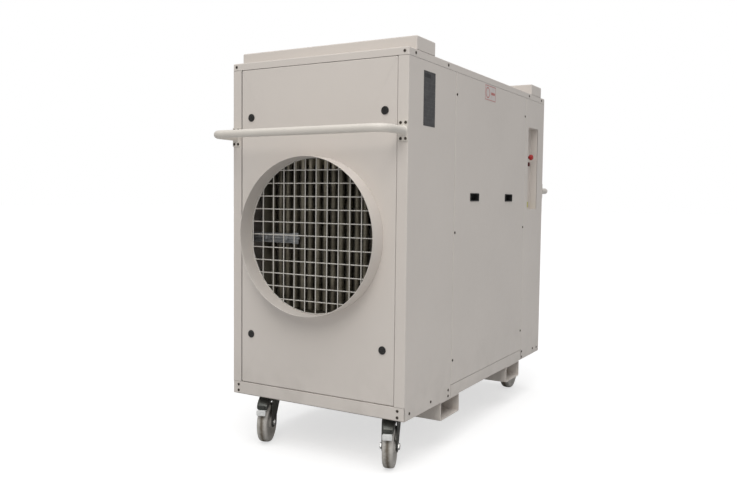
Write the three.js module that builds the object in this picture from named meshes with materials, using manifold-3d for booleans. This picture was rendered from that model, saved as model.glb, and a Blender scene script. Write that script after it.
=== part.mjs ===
// Commercial dehumidifier on castors: a folded-sheet cabinet with a round duct outlet at the front, an
// intake grille at the back, lift-off service panels, fork pockets, push handles and a control recess.
// Millimetres, +Z up, +X to the machine's right, front face towards -Y. The origin is on the floor, under
// the middle of the machine.
import * as THREE from "three";
import { mergeVertices } from "three/addons/utils/BufferGeometryUtils.js";
import Module from "manifold-3d";

const wasm = await Module();
wasm.setup();

// ---------------------------------------------------------------- driving dimensions
const WIDTH = 790; // cabinet, side to side
const DEPTH = 1550; // cabinet, front face to rear face
const HEIGHT = 1330; // cabinet, underside to top
const CLEARANCE = 200; // floor to the cabinet's underside, the castors' overall height
const SHEET = 2; // folded steel sheet
const GAP = 0.3; // between two pieces that are fixed together
const SEAM = 2; // visible joint between two panels
const BASE_HEIGHT = 50; // base frame rail
const SKIRT = 28; // turned-down edge of the top cover
const CORNER = 42; // width of the corner strip beside the front and rear panels
const BEAM_HEIGHT = 50; // stacking beams on the top
const BEAM_WIDTH = 152;
const BEAM_Y = 639; // centre of each beam, from the middle of the cabinet
const POCKET = { y: 373, width: 180, height: 75, wall: 4 }; // fork pockets
const OUTLET = { z: 855, radius: 300, length: 73 }; // duct spigot, nominal bore 600
const MESH_PITCH = 50; // guard mesh, both ways
const MESH_SHIFT = 14; // of the upright wires off the middle
const WIRE = 4;
const HANDLE = { tube: 15, standoff: 140, bend: 45, frontZ: 1239, rearZ: 1050 };
const LOCK = { x: 302, low: 451, high: 1313, head: 15, shaft: 8 };
const SIDE_SPLIT = { front: -367, rear: 487 }; // the service panel's front and rear edges
const PULL = { frontY: -158, rearY: 258, z: 1010, length: 95, height: 34, depth: 24, proud: 2.5 };
const RECESS = { y0: 529, y1: 680, z0: 955, z1: 1363, depth: 41 };
const CONTROLS = { y: 610, stopZ: 1218, knobZ: 1183, startZ: 1275 };
const CASTOR = { x: 288, swivelY: -668, trail: 45, wheel: 80, width: 42, rearX: 262, rearY: 690 };
const CASTOR_TURN = (21 * Math.PI) / 180; // both front castors stand swivelled by this much
const FAN = { y: -300, bore: 290, cowl: 120, wheel: 280, hub: 80, blades: 7, motor: 100 };
const HEATER = { y: -695, row: 40, pitch: 36, tubes: 15, tube: 13, low: 560, high: 1150 };

const RIGHT = WIDTH / 2;
const FRONT = -DEPTH / 2;
const BACK = DEPTH / 2;
const BASE_TOP = CLEARANCE + BASE_HEIGHT;
const TOP = CLEARANCE + HEIGHT;
const PANEL_TOP = TOP - SKIRT - SEAM / 2;
const PANEL_LOW = BASE_TOP + SEAM;
const PANEL_HALF = RIGHT - CORNER;
const TRAY = 22; // depth of a panel's folded edge

// ---------------------------------------------------------------- finishes
const finish = (color, roughness, metalness) =>
  new THREE.MeshStandardMaterial({ color, roughness, metalness });
const FINISH = {
  cream: [0xc9c4bb, 0.5, 0.1],
  galvanised: [0xb4b8ba, 0.4, 0.8],
  zincFork: [0x4b4f4c, 0.45, 0.7],
  bright: [0xd5d7d8, 0.25, 0.9],
  nylon: [0xb9b3aa, 0.55, 0],
  black: [0x151515, 0.5, 0],
  red: [0xb3161b, 0.35, 0],
  darkRed: [0x6f1518, 0.4, 0],
  green: [0x2f7d4a, 0.35, 0],
  plate: [0x6d7072, 0.4, 0.6],
  label: [0xf0e6e6, 0.6, 0],
  filter: [0x8e949a, 0.95, 0],
  aluminium: [0xa9abac, 0.35, 0.8],
  motor: [0x2c3238, 0.5, 0.4],
  heater: [0x6a5f54, 0.45, 0.7],
};

// ---------------------------------------------------------------- solids
// A closed geometry as a manifold solid.
function solidOf(geometry) {
  const bare = geometry.clone();
  bare.deleteAttribute("normal");
  bare.deleteAttribute("uv");
  const merged = mergeVertices(bare, 1e-3);
  const index = merged.index ?? mergeVertices(merged.toNonIndexed(), 1e-3).index;
  return new wasm.Manifold(
    new wasm.Mesh({
      numProp: 3,
      vertProperties: new Float32Array(merged.attributes.position.array),
      triVerts: new Uint32Array(index.array),
    }),
  );
}

// A manifold solid as a geometry with flat normals.
function geometryOf(solid) {
  const mesh = solid.getMesh();
  const points = new Float32Array(mesh.numVert * 3);
  for (let i = 0; i < mesh.numVert; i++)
    points.set(mesh.vertProperties.subarray(i * mesh.numProp, i * mesh.numProp + 3), i * 3);
  const indexed = new THREE.BufferGeometry();
  indexed.setAttribute("position", new THREE.BufferAttribute(points, 3));
  indexed.setIndex(new THREE.BufferAttribute(new Uint32Array(mesh.triVerts), 1));
  const flat = indexed.toNonIndexed();
  flat.computeVertexNormals();
  return flat;
}

const join = (...geometries) =>
  geometryOf(geometries.map(solidOf).reduce((whole, next) => whole.add(next)));
const cut = (body, ...tools) =>
  geometryOf(tools.map(solidOf).reduce((whole, next) => whole.subtract(next), solidOf(body)));

// Box between two corners.
function block(x0, x1, y0, y1, z0, z1) {
  const geometry = new THREE.BoxGeometry(x1 - x0, y1 - y0, z1 - z0);
  return geometry.translate((x0 + x1) / 2, (y0 + y1) / 2, (z0 + z1) / 2);
}

// Turn a geometry built round the Y axis so that it points along +X, +Y or +Z.
const along = {
  x: (geometry) => geometry.rotateZ(-Math.PI / 2),
  y: (geometry) => geometry,
  z: (geometry) => geometry.rotateX(Math.PI / 2),
};

// Round bar along an axis through a point, from one coordinate to another.
function rod(axis, [x, y, z], radius, from, to, sides = 16) {
  const geometry = new THREE.CylinderGeometry(radius, radius, to - from, sides);
  geometry.translate(0, (from + to) / 2, 0);
  along[axis](geometry);
  return geometry.translate(axis === "x" ? 0 : x, axis === "y" ? 0 : y, axis === "z" ? 0 : z);
}

// Turned piece: profile of [radius, distance along the axis] that starts and ends on the axis.
function turned(axis, [x, y, z], profile, sides = 18) {
  const points = profile.map(([radius, distance]) => new THREE.Vector2(radius, distance));
  const geometry = new THREE.LatheGeometry(points, sides);
  along[axis](geometry);
  return geometry.translate(x, y, z);
}

// Flat outline of [x, y] points carried up from z0 to z1.
function slab(outline, z0, z1) {
  const shape = new THREE.Shape(outline.map(([x, y]) => new THREE.Vector2(x, y)));
  const geometry = new THREE.ExtrudeGeometry(shape, { depth: z1 - z0, bevelEnabled: false });
  return geometry.translate(0, 0, z0);
}

const machine = new THREE.Group();

function piece(name, geometry, look, parent = machine) {
  const mesh = new THREE.Mesh(geometry, finish(...FINISH[look]));
  mesh.name = name;
  parent.add(mesh);
  return mesh;
}

const mirrored = (geometry, side) => {
  if (side > 0) return geometry;
  return geometryOf(solidOf(geometry).mirror([1, 0, 0]));
};
const SIDES = [
  ["right", 1],
  ["left", -1],
];

// ---------------------------------------------------------------- base frame and fork pockets
{
  const inner = RIGHT - SHEET;
  const step = [SIDE_SPLIT.front + SEAM / 2, SIDE_SPLIT.rear - SEAM / 2];
  const outline = [
    [-inner, FRONT],
    [inner, FRONT],
    [inner, step[0]],
    [RIGHT, step[0]],
    [RIGHT, step[1]],
    [inner, step[1]],
    [inner, BACK],
    [-inner, BACK],
    [-inner, step[1]],
    [-RIGHT, step[1]],
    [-RIGHT, step[0]],
    [-inner, step[0]],
  ];
  const wall = 3;
  const lip = 40;
  const hollow = block(
    -inner + wall,
    inner - wall,
    FRONT + wall,
    BACK - wall,
    CLEARANCE + wall,
    BASE_TOP - wall,
  );
  const mouth = block(
    -inner + lip,
    inner - lip,
    FRONT + lip,
    BACK - lip,
    BASE_TOP - 2 * wall,
    BASE_TOP + wall,
  );
  piece("base_frame", cut(slab(outline, CLEARANCE, BASE_TOP), hollow, mouth), "cream");
}
for (const [name, side] of [
  ["front", -1],
  ["rear", 1],
]) {
  const y = side * POCKET.y;
  const half = POCKET.width / 2;
  const low = CLEARANCE - POCKET.height;
  const tube = block(-RIGHT, RIGHT, y - half, y + half, low, CLEARANCE);
  const bore = block(
    -WIDTH,
    WIDTH,
    y - half + POCKET.wall,
    y + half - POCKET.wall,
    low + POCKET.wall,
    CLEARANCE - POCKET.wall,
  );
  piece("fork_pocket_" + name, cut(tube, bore), "cream");
}

// ---------------------------------------------------------------- top cover and stacking beams
{
  const skin = block(-RIGHT, RIGHT, FRONT, BACK, TOP - SKIRT, TOP);
  const inside = block(
    -RIGHT + SHEET,
    RIGHT - SHEET,
    FRONT + SHEET,
    BACK - SHEET,
    TOP - SKIRT - SHEET,
    TOP - SHEET,
  );
  piece("top_cover", cut(skin, inside), "cream");
}
for (const [name, side] of [
  ["front", -1],
  ["rear", 1],
]) {
  const y = side * BEAM_Y;
  const half = BEAM_WIDTH / 2;
  const wall = 3;
  const beam = block(-RIGHT, RIGHT, y - half, y + half, TOP, TOP + BEAM_HEIGHT);
  const inside = block(
    -RIGHT + wall,
    RIGHT - wall,
    y - half + wall,
    y + half - wall,
    TOP - wall,
    TOP + BEAM_HEIGHT - wall,
  );
  piece("stacking_beam_" + name, cut(beam, inside), "cream");
}

// ---------------------------------------------------------------- front panel with its four locks
// Tray-shaped panel with its face at the coordinate `face` and its edges folded inwards.
function endPanel(face, inwards) {
  const [near, far] = [face, face + inwards * TRAY].sort((a, b) => a - b);
  const hollowNear = inwards > 0 ? near + SHEET : near - SHEET;
  const hollowFar = inwards > 0 ? far + SHEET : far - SHEET;
  return cut(
    block(-PANEL_HALF + SEAM, PANEL_HALF - SEAM, near, far, PANEL_LOW, PANEL_TOP),
    block(
      -PANEL_HALF + SEAM + SHEET,
      PANEL_HALF - SEAM - SHEET,
      hollowNear,
      hollowFar,
      PANEL_LOW + SHEET,
      PANEL_TOP - SHEET,
    ),
  );
}
const LOCK_PLACES = [
  ["top_left", -1, LOCK.high],
  ["top_right", 1, LOCK.high],
  ["bottom_left", -1, LOCK.low],
  ["bottom_right", 1, LOCK.low],
];
{
  const bore = OUTLET.radius - 12;
  const lockHole = LOCK.shaft + 0.5;
  piece(
    "front_panel",
    cut(
      endPanel(FRONT, 1),
      rod("y", [0, 0, OUTLET.z], bore, FRONT - SHEET, FRONT + TRAY, 48),
      ...LOCK_PLACES.map(([, side, z]) =>
        rod("y", [side * LOCK.x, 0, z], lockHole, FRONT - SHEET, FRONT + TRAY, 12),
      ),
    ),
    "cream",
  );
  // Quarter-turn lock: round head with a screwdriver slot, shaft through the panel, cam behind it.
  for (const [name, side, z] of LOCK_PLACES) {
    const head = 3;
    const cam = { y: FRONT + TRAY + 3, thick: 3, half: 8, length: 52 };
    const body = join(
      rod("y", [0, 0, 0], LOCK.head, FRONT - GAP - head, FRONT - GAP, 16),
      rod("y", [0, 0, 0], LOCK.shaft, FRONT - 1, cam.y + 1, 10),
      block(-cam.half, cam.length, cam.y, cam.y + cam.thick, -cam.half, cam.half),
    );
    const slot = block(-1.5, 1.5, FRONT - head - 1, FRONT - GAP - 1.2, -10, 10);
    piece("panel_lock_" + name, mirrored(cut(body, slot), side), "black").position.set(side * LOCK.x, 0, z);
  }
}

// ---------------------------------------------------------------- duct spigot and its guard
{
  const wall = 2;
  const base = FRONT - GAP;
  const flange = 9;
  const outer = OUTLET.radius;
  const profile = [
    [outer, base],
    [outer - wall - flange, base],
    [outer - wall - flange, base - wall],
    [outer - wall, base - wall],
    [outer - wall, FRONT - OUTLET.length],
    [outer, FRONT - OUTLET.length],
    [outer, base],
  ];
  piece("outlet_spigot", turned("y", [0, 0, OUTLET.z], profile, 48), "cream");

  const rim = outer - wall - 1;
  const back = base - wall - GAP;
  const bars = [];
  const halfChord = (at) => Math.sqrt((rim - 3) ** 2 - at ** 2);
  for (let i = -6; i <= 5; i++) {
    const x = MESH_SHIFT + i * MESH_PITCH;
    const half = halfChord(x);
    bars.push(block(x - WIRE / 2, x + WIRE / 2, back - WIRE, back, OUTLET.z - half, OUTLET.z + half));
  }
  for (let i = -5; i <= 5; i++) {
    const z = OUTLET.z + i * MESH_PITCH;
    const half = halfChord(i * MESH_PITCH);
    bars.push(block(-half, half, back - WIRE, back, z - WIRE / 2, z + WIRE / 2));
  }
  const hoop = turned(
    "y",
    [0, 0, OUTLET.z],
    [
      [rim, back - WIRE],
      [rim, back],
      [rim - 6, back],
      [rim - 6, back - WIRE],
      [rim, back - WIRE],
    ],
    48,
  );
  piece("outlet_guard", join(hoop, ...bars), "cream");
}

// ---------------------------------------------------------------- push handles
// Path through a list of points, one step from each point to the next.
class PointPath extends THREE.Curve {
  constructor(points) {
    super();
    this.points = points;
  }
  getPointAt(t) {
    return this.points[Math.round(t * (this.points.length - 1))].clone();
  }
  getTangentAt(t) {
    const i = Math.round(t * (this.points.length - 1));
    const before = this.points[Math.max(i - 1, 0)];
    const after = this.points[Math.min(i + 1, this.points.length - 1)];
    return after.clone().sub(before).normalize();
  }
}

// U-shaped tube on two screwed end plates. `out` is -1 for the front handle and 1 for the rear one.
function pushHandle(out, face, z) {
  const reach = RIGHT - 18;
  const start = face + out * (GAP + 2);
  const centre = face + out * (HANDLE.standoff - HANDLE.bend);
  const half = [new THREE.Vector3(reach, start, z)];
  const turns = 5;
  for (let i = 0; i <= turns; i++) {
    const angle = (i / turns) * (Math.PI / 2);
    const x = reach - HANDLE.bend * (1 - Math.cos(angle));
    half.push(new THREE.Vector3(x, centre + out * HANDLE.bend * Math.sin(angle), z));
  }
  const other = half.map((point) => new THREE.Vector3(-point.x, point.y, z)).reverse();
  const section = new THREE.Shape();
  section.absarc(0, 0, HANDLE.tube, 0, 2 * Math.PI);
  const tube = new THREE.ExtrudeGeometry(section, {
    steps: half.length + other.length - 1,
    bevelEnabled: false,
    curveSegments: 6,
    extrudePath: new PointPath([...half, ...other]),
  });
  const [near, far] = [face + out * GAP, face + out * (GAP + 4)].sort((a, b) => a - b);
  const plates = [-1, 1].map((side) =>
    block(side * reach - 18, side * reach + 18, near, far, z - 38, z + 38),
  );
  return join(tube, ...plates);
}
piece("front_handle", pushHandle(-1, FRONT, HANDLE.frontZ), "cream");
piece("rear_handle", pushHandle(1, BACK, HANDLE.rearZ), "cream");

// ---------------------------------------------------------------- side panels
// Fixed panel of one sheet: the side, a corner strip folded round the end, and a jamb at the service panel.
function fixedSide(outerY, jambY, isFront) {
  const [y0, y1] = [outerY, jambY].sort((a, b) => a - b);
  const strip = isFront ? [y0, y0 + SHEET] : [y1 - SHEET, y1];
  const jamb = isFront ? [y1 - SHEET, y1] : [y0, y0 + SHEET];
  const low = BASE_TOP + GAP;
  return join(
    block(RIGHT - SHEET, RIGHT, y0, y1, CLEARANCE, PANEL_TOP),
    block(PANEL_HALF, RIGHT, ...strip, low, PANEL_TOP),
    block(RIGHT - 50, RIGHT, ...jamb, low, PANEL_TOP),
  );
}
for (const [name, side] of SIDES) {
  const front = fixedSide(FRONT, SIDE_SPLIT.front - SEAM / 2, true);
  piece("side_panel_front_" + name, mirrored(front, side), "cream");
  let rear = fixedSide(BACK, SIDE_SPLIT.rear + SEAM / 2, false);
  if (side > 0)
    rear = cut(rear, block(RIGHT - 9, RIGHT + 9, RECESS.y0, RECESS.y1, RECESS.z0, RECESS.z1));
  piece("side_panel_rear_" + name, mirrored(rear, side), "cream");
}

// ---------------------------------------------------------------- service panels and their recessed pulls
for (const [name, side] of SIDES) {
  const y0 = SIDE_SPLIT.front + SEAM / 2;
  const y1 = SIDE_SPLIT.rear - SEAM / 2;
  const mouth = { half: PULL.length / 2 - 2, tall: PULL.height / 2 - 2 };
  const openings = [PULL.frontY, PULL.rearY].map((y) =>
    block(
      RIGHT - 9,
      RIGHT + 9,
      y - mouth.half,
      y + mouth.half,
      PULL.z - mouth.tall,
      PULL.z + mouth.tall,
    ),
  );
  const tray = cut(
    block(RIGHT - TRAY, RIGHT, y0, y1, PANEL_LOW, PANEL_TOP),
    block(RIGHT - 2 * TRAY, RIGHT - SHEET, y0 + SHEET, y1 - SHEET, PANEL_LOW + SHEET, PANEL_TOP - SHEET),
    ...openings,
  );
  piece("service_panel_" + name, mirrored(tray, side), "cream");

  // Moulded cup pushed in from outside: a thin flange over the sheet and a pocket for the fingers.
  for (const [place, y] of [
    ["front", PULL.frontY],
    ["rear", PULL.rearY],
  ]) {
    const wall = 1.5;
    const fit = { half: mouth.half - GAP, tall: mouth.tall - GAP };
    const back = RIGHT - PULL.depth;
    const cup = cut(
      join(
        block(
          RIGHT + GAP / 3,
          RIGHT + PULL.proud,
          y - PULL.length / 2,
          y + PULL.length / 2,
          PULL.z - PULL.height / 2,
          PULL.z + PULL.height / 2,
        ),
        block(back, RIGHT + PULL.proud / 2, y - fit.half, y + fit.half, PULL.z - fit.tall, PULL.z + fit.tall),
      ),
      block(
        back + wall,
        RIGHT + 9,
        y - fit.half + wall,
        y + fit.half - wall,
        PULL.z - fit.tall + wall,
        PULL.z + fit.tall - wall,
      ),
    );
    piece("pull_" + place + "_" + name, mirrored(cup, side), "black");
  }
}

// ---------------------------------------------------------------- control recess
{
  const face = RIGHT - RECESS.depth;
  const wall = 2;
  const bezel = { stop: 14, knob: 12, start: 14 };
  const shell = cut(
    block(
      face - wall,
      RIGHT - SHEET - GAP,
      RECESS.y0 - wall,
      RECESS.y1 + wall,
      RECESS.z0 - wall,
      RECESS.z1 + wall,
    ),
    block(face, RIGHT, RECESS.y0, RECESS.y1, RECESS.z0, RECESS.z1),
  );
  const at = (z) => [0, CONTROLS.y, z];
  const box = cut(
    join(
      shell,
      rod("x", at(CONTROLS.stopZ), bezel.stop, face - 1, face + 10),
      rod("x", at(CONTROLS.knobZ), bezel.knob, face - 1, face + 5),
      rod("x", at(CONTROLS.startZ), bezel.start, face - 1, face + 5),
    ),
    rod("x", at(CONTROLS.stopZ), 8, face - 9, face + 20),
    rod("x", at(CONTROLS.knobZ), 5, face - 9, face + 20),
    rod("x", at(CONTROLS.startZ), 11, face - 9, face + 20),
  );
  piece("control_box", box, "cream");

  // Latching mushroom head on a plunger.
  const stop = turned("x", [face, CONTROLS.y, CONTROLS.stopZ], [
    [0, -16],
    [7.5, -16],
    [7.5, 16],
    [14, 17],
    [14.5, 30],
    [12, 37],
    [6, 40],
    [0, 40.5],
  ]);
  piece("emergency_stop_button", stop, "red");

  // Rotary mains switch: a round skirt with a grip bar across it.
  const knob = join(
    rod("x", at(CONTROLS.knobZ), 4.5, face - 14, face + 8, 12),
    rod("x", at(CONTROLS.knobZ), 11, face + 6, face + 12, 20),
    block(
      face + 11,
      face + 24,
      CONTROLS.y - 3.5,
      CONTROLS.y + 3.5,
      CONTROLS.knobZ - 10,
      CONTROLS.knobZ + 10,
    ),
  );
  piece("mains_switch_knob", knob, "darkRed");

  const start = turned("x", [face, CONTROLS.y, CONTROLS.startZ], [
    [0, -12],
    [10.5, -12],
    [10.5, 8],
    [9, 9.5],
    [0, 9.5],
  ]);
  piece("start_button", start, "green");
}

// ---------------------------------------------------------------- rating plate and label
piece("rating_plate", block(RIGHT, RIGHT + 0.7, -657, -560, 1267, 1466), "plate");
piece("warning_label", block(RIGHT, RIGHT + 0.5, -64, 66, 1429, 1498), "label");

// ---------------------------------------------------------------- rear panel, grille and filter
const INTAKE = { half: 270, low: 640, high: 1340 };
{
  const hole = block(-INTAKE.half, INTAKE.half, BACK - TRAY, BACK + TRAY, INTAKE.low, INTAKE.high);
  const inletHole = rod("y", [-230, 0, 430], 33, BACK - TRAY, BACK + TRAY, 20);
  piece("rear_panel", cut(endPanel(BACK, -1), hole, inletHole), "cream");

  const lip = 25;
  const frameFront = BACK + GAP;
  const frame = cut(
    block(
      -INTAKE.half - lip,
      INTAKE.half + lip,
      frameFront,
      frameFront + 4,
      INTAKE.low - lip,
      INTAKE.high + lip,
    ),
    block(
      -INTAKE.half + 10,
      INTAKE.half - 10,
      BACK - 9,
      BACK + 19,
      INTAKE.low + 10,
      INTAKE.high - 10,
    ),
  );
  const louvres = [];
  const count = 14;
  const spacing = (INTAKE.high - INTAKE.low - 20) / count;
  for (let i = 0; i < count; i++) {
    const blade = new THREE.BoxGeometry(2 * INTAKE.half - 19, 1.6, 36);
    blade.rotateX(-Math.PI / 4);
    blade.translate(0, BACK - 8, INTAKE.low + 10 + (i + 0.5) * spacing);
    louvres.push(blade);
  }
  const rails = [-1, 1].map((side) => {
    const x = side * (INTAKE.half - 8);
    return block(x - 3, x + 3, BACK - 22, frameFront + 2, INTAKE.low + 5, INTAKE.high - 5);
  });
  piece("intake_grille", join(frame, ...rails, ...louvres), "cream");

  const filterHalf = INTAKE.half + 20;
  const filterFront = BACK - 60;
  const filterDepth = 25;
  const filter = block(
    -filterHalf,
    filterHalf,
    filterFront,
    filterFront + filterDepth,
    INTAKE.low - 15,
    INTAKE.high + 15,
  );
  piece("intake_filter", filter, "filter");
}

// Appliance inlet for the mains lead: square flange, round shroud and five pins.
{
  const centre = [-230, 0, 430];
  const flange = block(centre[0] - 45, centre[0] + 45, BACK + GAP, BACK + 8, centre[2] - 45, centre[2] + 45);
  const shroud = rod("y", centre, 38, BACK + 4, BACK + 60, 20);
  const body = rod("y", centre, 32, BACK - 40, BACK + 6, 16);
  const hollow = rod("y", centre, 34, BACK + 12, BACK + 70, 20);
  const pins = [];
  for (let i = 0; i < 5; i++) {
    const turn = ((0.3 + i) * 2 * Math.PI) / 5;
    const at = [centre[0] + 18 * Math.cos(turn), 0, centre[2] + 18 * Math.sin(turn)];
    pins.push(rod("y", at, 3, BACK + 10, BACK + 46, 6));
  }
  piece("power_inlet", join(cut(join(flange, shroud, body), hollow), ...pins), "black");
}

// ---------------------------------------------------------------- refrigeration parts
// Finned block between two end plates, with a vertical header pipe on one side.
function coil(y0, y1, headerX) {
  const [low, high, half] = [345, 1360, 290];
  const middle = (y0 + y1) / 2;
  return join(
    block(-half, half, y0, y1, low, high),
    block(-half - 3, -half + 1, y0 - 10, y1 + 10, low - 8, high + 8),
    block(half - 1, half + 3, y0 - 10, y1 + 10, low - 8, high + 8),
    rod("z", [headerX, middle, 0], 14, low + 20, high - 20, 12),
    ...[low + 60, (low + high) / 2, high - 60].map((z) =>
      rod("x", [0, middle, z], 6, Math.min(headerX, 0), Math.max(headerX, 0), 8),
    ),
  );
}
piece("evaporator_coil", coil(610, 680, -315), "aluminium");
piece("condenser_coil", coil(490, 560, -315), "aluminium");
{
  const wall = 2;
  const tray = cut(
    block(-325, 325, 595, 700, 290, 330),
    block(-325 + wall, 325 - wall, 595 + wall, 700 - wall, 290 + wall, 340),
  );
  const spout = rod("y", [120, 0, 300], 7, 698, 712, 12);
  piece("drip_tray", join(tray, spout), "galvanised");
}
{
  const [x, y] = [150, 300];
  const shell = turned(
    "z",
    [x, y, BASE_TOP],
    [
      [0, 18],
      [100, 18],
      [118, 50],
      [118, 290],
      [100, 335],
      [0, 355],
    ],
    20,
  );
  const feet = block(x - 120, x + 120, y - 120, y + 120, 208, 274);
  const clear = block(x - 110, x + 110, y - 130, y + 130, 200, 262);
  const pipe = rod("z", [x + 60, y, 0], 11, BASE_TOP + 300, BASE_TOP + 420, 12);
  piece("compressor", join(shell, cut(feet, clear), pipe), "motor");
}

// ---------------------------------------------------------------- fan
{
  const bulkhead = block(-RIGHT + 45, RIGHT - 45, FAN.y, FAN.y + 3, BASE_TOP + GAP, TOP - SHEET - GAP);
  const centre = [0, 0, OUTLET.z];
  const cowl = rod("y", centre, FAN.bore + 3, FAN.y, FAN.y + FAN.cowl, 32);
  const bore = rod("y", centre, FAN.bore, FAN.y - 9, FAN.y + FAN.cowl + 9, 32);
  piece("fan_bulkhead", cut(join(bulkhead, cowl), bore), "galvanised");

  const motorY = FAN.y + FAN.cowl - 20;
  const arms = [0, 1, 2].map((i) => {
    const arm = block(FAN.motor - 15, FAN.bore - 2, motorY, motorY + 8, -14, 14);
    arm.rotateY((i * 2 * Math.PI) / 3 + Math.PI / 6);
    return arm.translate(0, 0, OUTLET.z);
  });
  const motor = turned("y", [0, motorY, OUTLET.z], [
    [0, 0],
    [FAN.motor, 0],
    [FAN.motor, 160],
    [80, 178],
    [0, 180],
  ]);
  const shaft = rod("y", centre, 12, FAN.y + 16, motorY + 1, 10);
  piece("fan_motor", join(motor, shaft, ...arms), "motor");

  const blades = [];
  for (let i = 0; i < FAN.blades; i++) {
    const blade = new THREE.BoxGeometry(FAN.wheel - FAN.hub + 12, 3, 120);
    blade.rotateX(Math.PI / 5.5);
    blade.translate((FAN.wheel + FAN.hub - 12) / 2, 0, 0);
    blade.rotateY((i * 2 * Math.PI) / FAN.blades);
    blades.push(blade.translate(0, FAN.y + 50, OUTLET.z));
  }
  const hub = cut(
    rod("y", centre, FAN.hub, FAN.y + 10, FAN.y + 90, 20),
    rod("y", centre, 12.9, FAN.y + 14, FAN.y + 99, 10),
  );
  piece("fan_wheel", join(hub, ...blades), "aluminium");
}

// ---------------------------------------------------------------- heater battery behind the outlet
{
  const half = ((HEATER.tubes - 1) / 2) * HEATER.pitch + 30;
  const [y0, y1] = [HEATER.y - 20, HEATER.y + HEATER.row + 20];
  const rows = [];
  for (let row = 0; row < 2; row++)
    for (let i = 0; i < HEATER.tubes - row; i++) {
      const x = (i - (HEATER.tubes - 1) / 2 + row / 2) * HEATER.pitch;
      rows.push(rod("z", [x, HEATER.y + row * HEATER.row, 0], HEATER.tube, HEATER.low, HEATER.high, 6));
    }
  const headers = [HEATER.low, HEATER.high].map((z) => block(-half, half, y0, y1, z - 12, z + 12));
  const cheeks = [-1, 1].map((side) =>
    block(side * half - 1.5, side * half + 1.5, y0, y1, HEATER.low - 12, HEATER.high + 12),
  );
  piece("heater_battery", join(...headers, ...cheeks, ...rows), "heater");

  // Angle bracket that carries the thermostat capillary across the left of the outlet.
  const face = HEATER.y - 24;
  const angle = join(
    block(-345, -112, face - 2, face, 822, 858),
    block(-345, -112, face - 18, face - 1, 822, 824.5),
  );
  piece("heater_bracket", angle, "galvanised");
}

// ---------------------------------------------------------------- castors
const WHEEL_Z = CASTOR.wheel;
const HALF_TREAD = CASTOR.width / 2;

// Solid nylon wheel with a rounded tread, dished sides and a bored hub, turning about the X axis.
function wheel() {
  const r = CASTOR.wheel;
  const dish = HALF_TREAD - 7;
  const profile = [
    [10.3, -HALF_TREAD - 2],
    [22, -HALF_TREAD - 2],
    [24, -dish],
    [r - 22, -dish],
    [r - 19, -HALF_TREAD],
    [r - 6, -HALF_TREAD],
    [r, -HALF_TREAD / 3],
    [r, HALF_TREAD / 3],
    [r - 6, HALF_TREAD],
    [r - 19, HALF_TREAD],
    [r - 22, dish],
    [24, dish],
    [22, HALF_TREAD + 2],
    [10.3, HALF_TREAD + 2],
    [10.3, -HALF_TREAD - 2],
  ];
  return turned("x", [0, 0, 0], profile, 20);
}

// Bolt through the fork and the hub, with a head at one end and a nut at the other.
function axle(outside) {
  return join(
    rod("x", [0, 0, 0], 10, -outside - 8, outside + 8, 10),
    rod("x", [0, 0, 0], 15, -outside - 7, -outside - GAP, 6),
    rod("x", [0, 0, 0], 15, outside + GAP, outside + 7, 6),
  );
}

// Outline of [y, z] points given a thickness along X.
function profileSlab(outline, x0, x1) {
  const shape = new THREE.Shape(outline.map(([y, z]) => new THREE.Vector2(y, z)));
  const plate = new THREE.ExtrudeGeometry(shape, { depth: x1 - x0, bevelEnabled: false });
  return plate.rotateX(Math.PI / 2).rotateZ(Math.PI / 2).translate(x0, 0, 0);
}

// Fork cheek bored for the axle.
function cheek(outline, x0, x1, boreY) {
  const bore = rod("x", [0, boreY, WHEEL_Z], 10.8, x0 - 1, x1 + 1, 10);
  return cut(profileSlab(outline, x0, x1), bore);
}

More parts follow.
